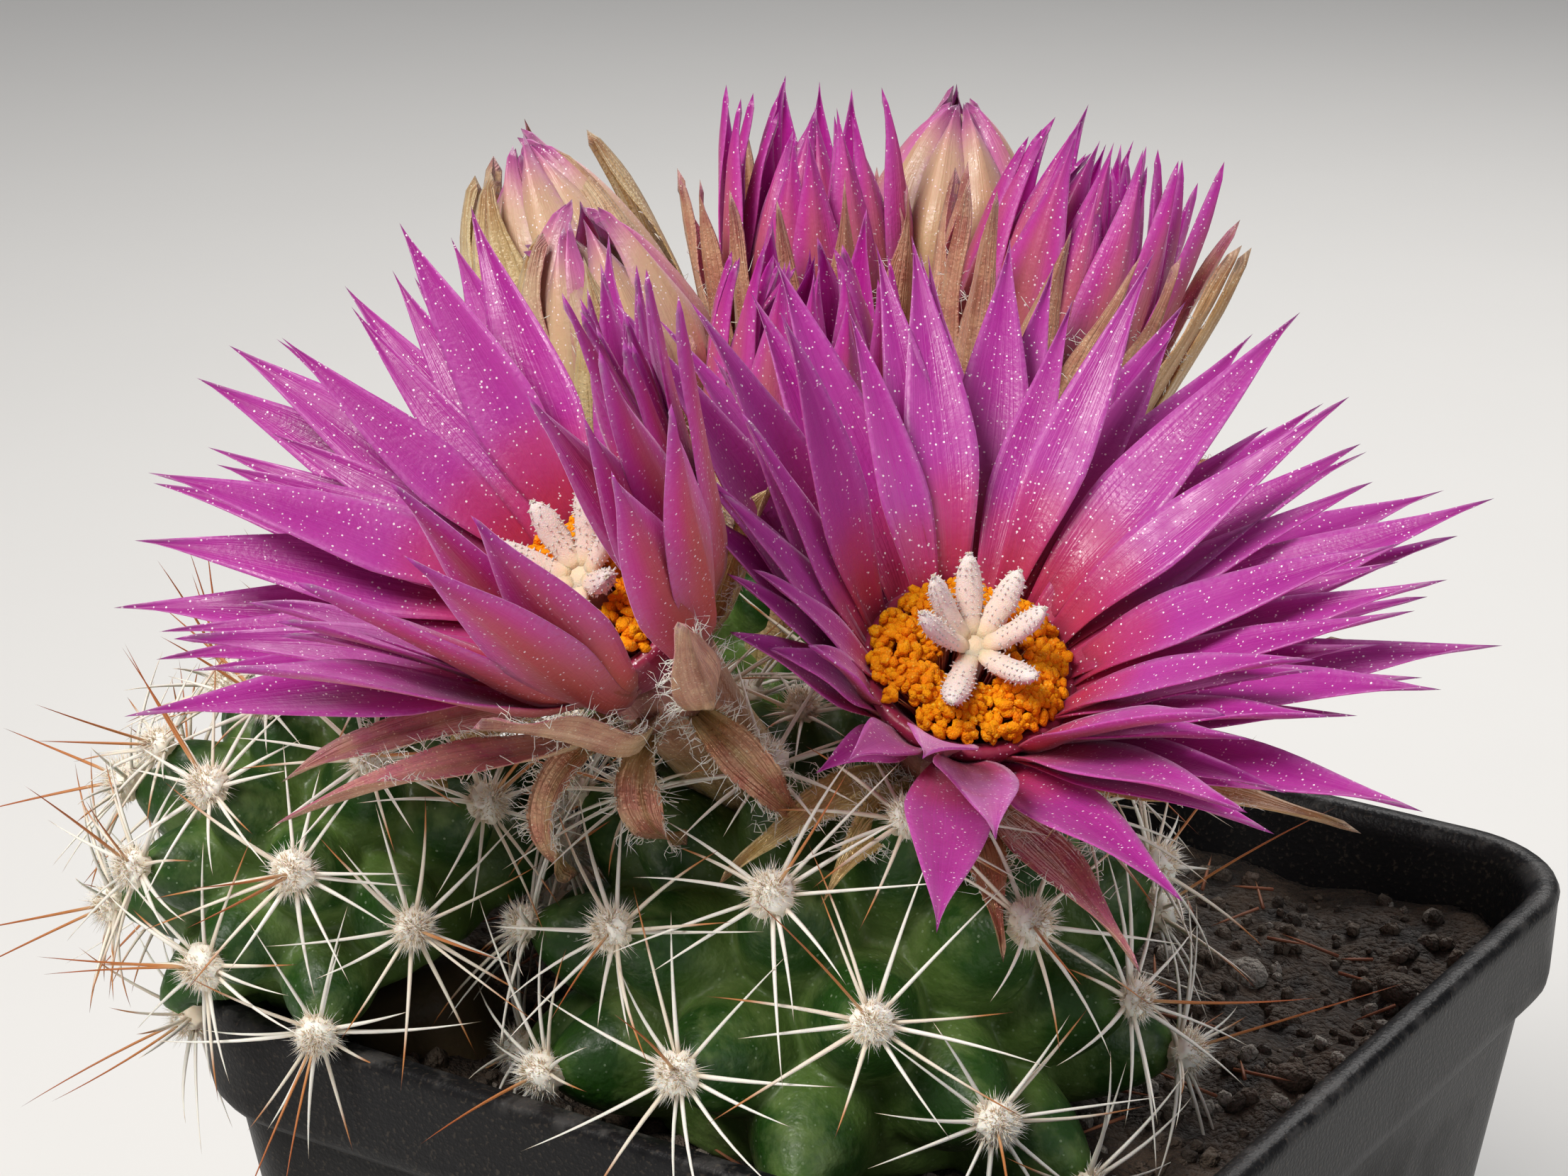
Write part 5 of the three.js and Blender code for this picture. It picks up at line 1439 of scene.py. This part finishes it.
def buildSoil(look, material, strawMaterial):
    rng = np.random.default_rng(5)
    clear, around = 0.35, 128  # mm kept to the pot's wall, and points round each ring
    inner = potSize["corner"] - potSize["wall"] - 0.85
    half = innerWidth(soilTop) / 2 - clear
    turns = np.arange(around) * 2 * math.pi / around
    c, s = np.abs(np.cos(turns)), np.abs(np.sin(turns))
    straight = 1 / np.maximum(c, s)

    def edge(a, q):  # the rounded square's reach in each direction
        flat = a * straight
        b = (a - q) * (c + s)
        arc = b + np.sqrt(np.maximum(b * b - 2 * (a - q) ** 2 + q * q, 0))
        return np.where(np.minimum(c, s) * flat > a - q, arc, flat)

    rings = []
    for z, corner in ((potSize["floor"] + clear, inner - 1), (soilTop - 12, inner), (soilTop - 3, inner)):
        reach = edge(innerWidth(z) / 2 - clear, corner)
        rings.append(ringPoints(reach, turns, z))
    reach = edge(half, inner)
    for share in np.linspace(1, 0.03, 46):
        ring = ringPoints(reach * share, turns, 0.0)
        for p in ring:
            coarse = noise.noise(Vector((p[0] * 0.7, p[1] * 0.7, 1))) * 0.45
            rough = coarse + noise.noise(Vector((p[0] * 2.2, p[1] * 2.2, 4))) * 0.3
            p[2] = soilHeight(p[0], p[1]) + rough * min(1, (1 - share) * 6 + 0.3)
        rings.append(ring)
    places = np.concatenate(rings)
    faces = gridFaces(len(rings), around) + ringCaps(len(rings), around)
    marks = np.zeros((len(places), 4))
    marks[:, 1] = 1
    pile = newPile()
    addShell(pile, places, faces, marks)
    for i in range(look["pebbles"]):
        x, y = spreadBy(5, i, half - 2.6), spreadBy(6, i, half - 2.6)
        size = look["pebbleSize"] * (0.55 + 0.7 * drawn(7, i))
        addLumps(pile, [np.array([x, y, soilHeight(x, y) + size * 0.12])], [size * np.array([1, 0.8, 0.62])],
            0.08, rng, 2, 0, [1.0], [rng.normal(0, 0.3, 3) + [0, 0, 1]])
    count = look["grains"]
    spots = rng.uniform(-half + 1.2, half - 1.2, (count, 2))
    sizes = rng.uniform(*look["grainSize"], (count, 1)) * rng.uniform(0.6, 1, (count, 3))
    heights = np.array([soilHeight(x, y) for x, y in spots]) + sizes[:, 2] * 0.2
    keep = np.abs(spots).sum(axis=1) < 2 * half - inner * 0.8
    addLumps(pile, np.column_stack([spots, heights])[keep], sizes[keep], 0.22, rng, 1, 0, np.ones(count)[keep],
        rng.normal(0, 0.5, (count, 3))[keep] + [0, 0, 1])
    straws = look["straws"]
    spots = rng.uniform(-half + 3, half - 3, (straws, 2))
    aim = rng.uniform(0, 2 * math.pi, straws)
    t = np.linspace(-0.5, 0.5, 4)[None, :, None]
    span = rng.uniform(2, 6, straws)[:, None, None]
    ways = np.stack([np.cos(aim), np.sin(aim), rng.normal(0, 0.18, straws)], axis=1)[:, None]
    ground = np.array([soilHeight(x, y) for x, y in spots]) + 0.7
    path = np.column_stack([spots, ground])[:, None] + ways * t * span
    addTubes(pile, path, 0.12 * np.array([1, 0.9, 0.7, 0.3]), 4, rng.random(straws), np.ones(straws), 1)
    return makePiece("soilBed", pile, [material, strawMaterial], ["soil"], onPlant=False)


potTree = buildPot(potSize, buildPotMaterial(potLook))
strawBrown = buildHairMaterial("strawBrown", (0.24, 0.085, 0.04), (0.38, 0.16, 0.08), 0.7)
buildSoil(soilLook, buildSoilMaterial(soilLook), strawBrown)
print("pot and soil built")
for name, head in heads.items():
    buildSpines(name, head, *grownHeads[name], flowerTree)
print("spines built")

# floor, lights and camera

studio = {"floor": (0.80, 0.79, 0.77), "key": 2.75, "fill": 0.4, "back": 1.1, "sky": 0.19}
cameraLook = {"target": (-6.45, -4.0, 75.36), "distance": 210.0, "tilt": 20.0, "lens": 90.0}


def buildFloor(look):
    grid = bmesh.new()
    bmesh.ops.create_grid(grid, x_segments=48, y_segments=48, size=3)
    mesh = bpy.data.meshes.new("studioFloor")
    grid.to_mesh(mesh)
    grid.free()
    material, tree, shader = newMaterial("floorPaper")
    patch = placeGroup(tree, softMottle, {"Scale": 25.0, "Low": 0.3, "High": 0.7}, Place=objectPlace(tree))
    colour = blend(tree, times(tree, patch.outputs["Patch"], 0.3), look["floor"],
        tuple(c * 0.96 for c in look["floor"]))
    join(tree, colour, shader.inputs["Base Color"])
    setPlain(shader, {"Roughness": 0.8})
    mesh.materials.append(material)
    floor = bpy.data.objects.new("studioFloor", mesh)
    scene.collection.objects.link(floor)
    floor.location.z = -0.0002


def addSoftbox(name, place, size, energy, target, colour):
    light = bpy.data.lights.new(name, "AREA")
    light.shape, light.size, light.energy, light.color = "DISK", size, energy, colour
    box = bpy.data.objects.new(name, light)
    box.location = (toPot @ Vector(place)) * 0.001
    box.rotation_euler = (target - box.location).to_track_quat("-Z", "Y").to_euler()
    scene.collection.objects.link(box)


buildFloor(studio)
target = (toPot @ Vector(cameraLook["target"])) * 0.001
addSoftbox("keyLight", (-220, -230, 470), 0.22, studio["key"], target, (1.0, 0.97, 0.93))
addSoftbox("fillLight", (330, -260, 200), 0.35, studio["fill"], target, (0.93, 0.96, 1.0))
addSoftbox("backLight", (120, 340, 380), 0.25, studio["back"], target, (1.0, 0.98, 0.96))
world = bpy.data.worlds.new("studioWorld")
world.use_nodes = True
world.node_tree.nodes["Background"].inputs["Color"].default_value = (0.93, 0.95, 1.0, 1)
world.node_tree.nodes["Background"].inputs["Strength"].default_value = studio["sky"]
scene.world = world

camera = bpy.data.cameras.new("photoCamera")
camera.lens, camera.sensor_width, camera.sensor_fit = cameraLook["lens"], 36.0, "HORIZONTAL"
camera.clip_start, camera.clip_end = 0.005, 20
eye = bpy.data.objects.new("photoCamera", camera)
tilt = math.radians(cameraLook["tilt"])
away = toPot @ Vector((0, -math.cos(tilt), math.sin(tilt)))
eye.location = target + away * cameraLook["distance"] * 0.001
eye.rotation_euler = (-away).to_track_quat("-Z", "Y").to_euler()
scene.collection.objects.link(eye)
scene.camera = eye
scene.view_settings.view_transform = "Standard"
print("stage, lights and camera set")
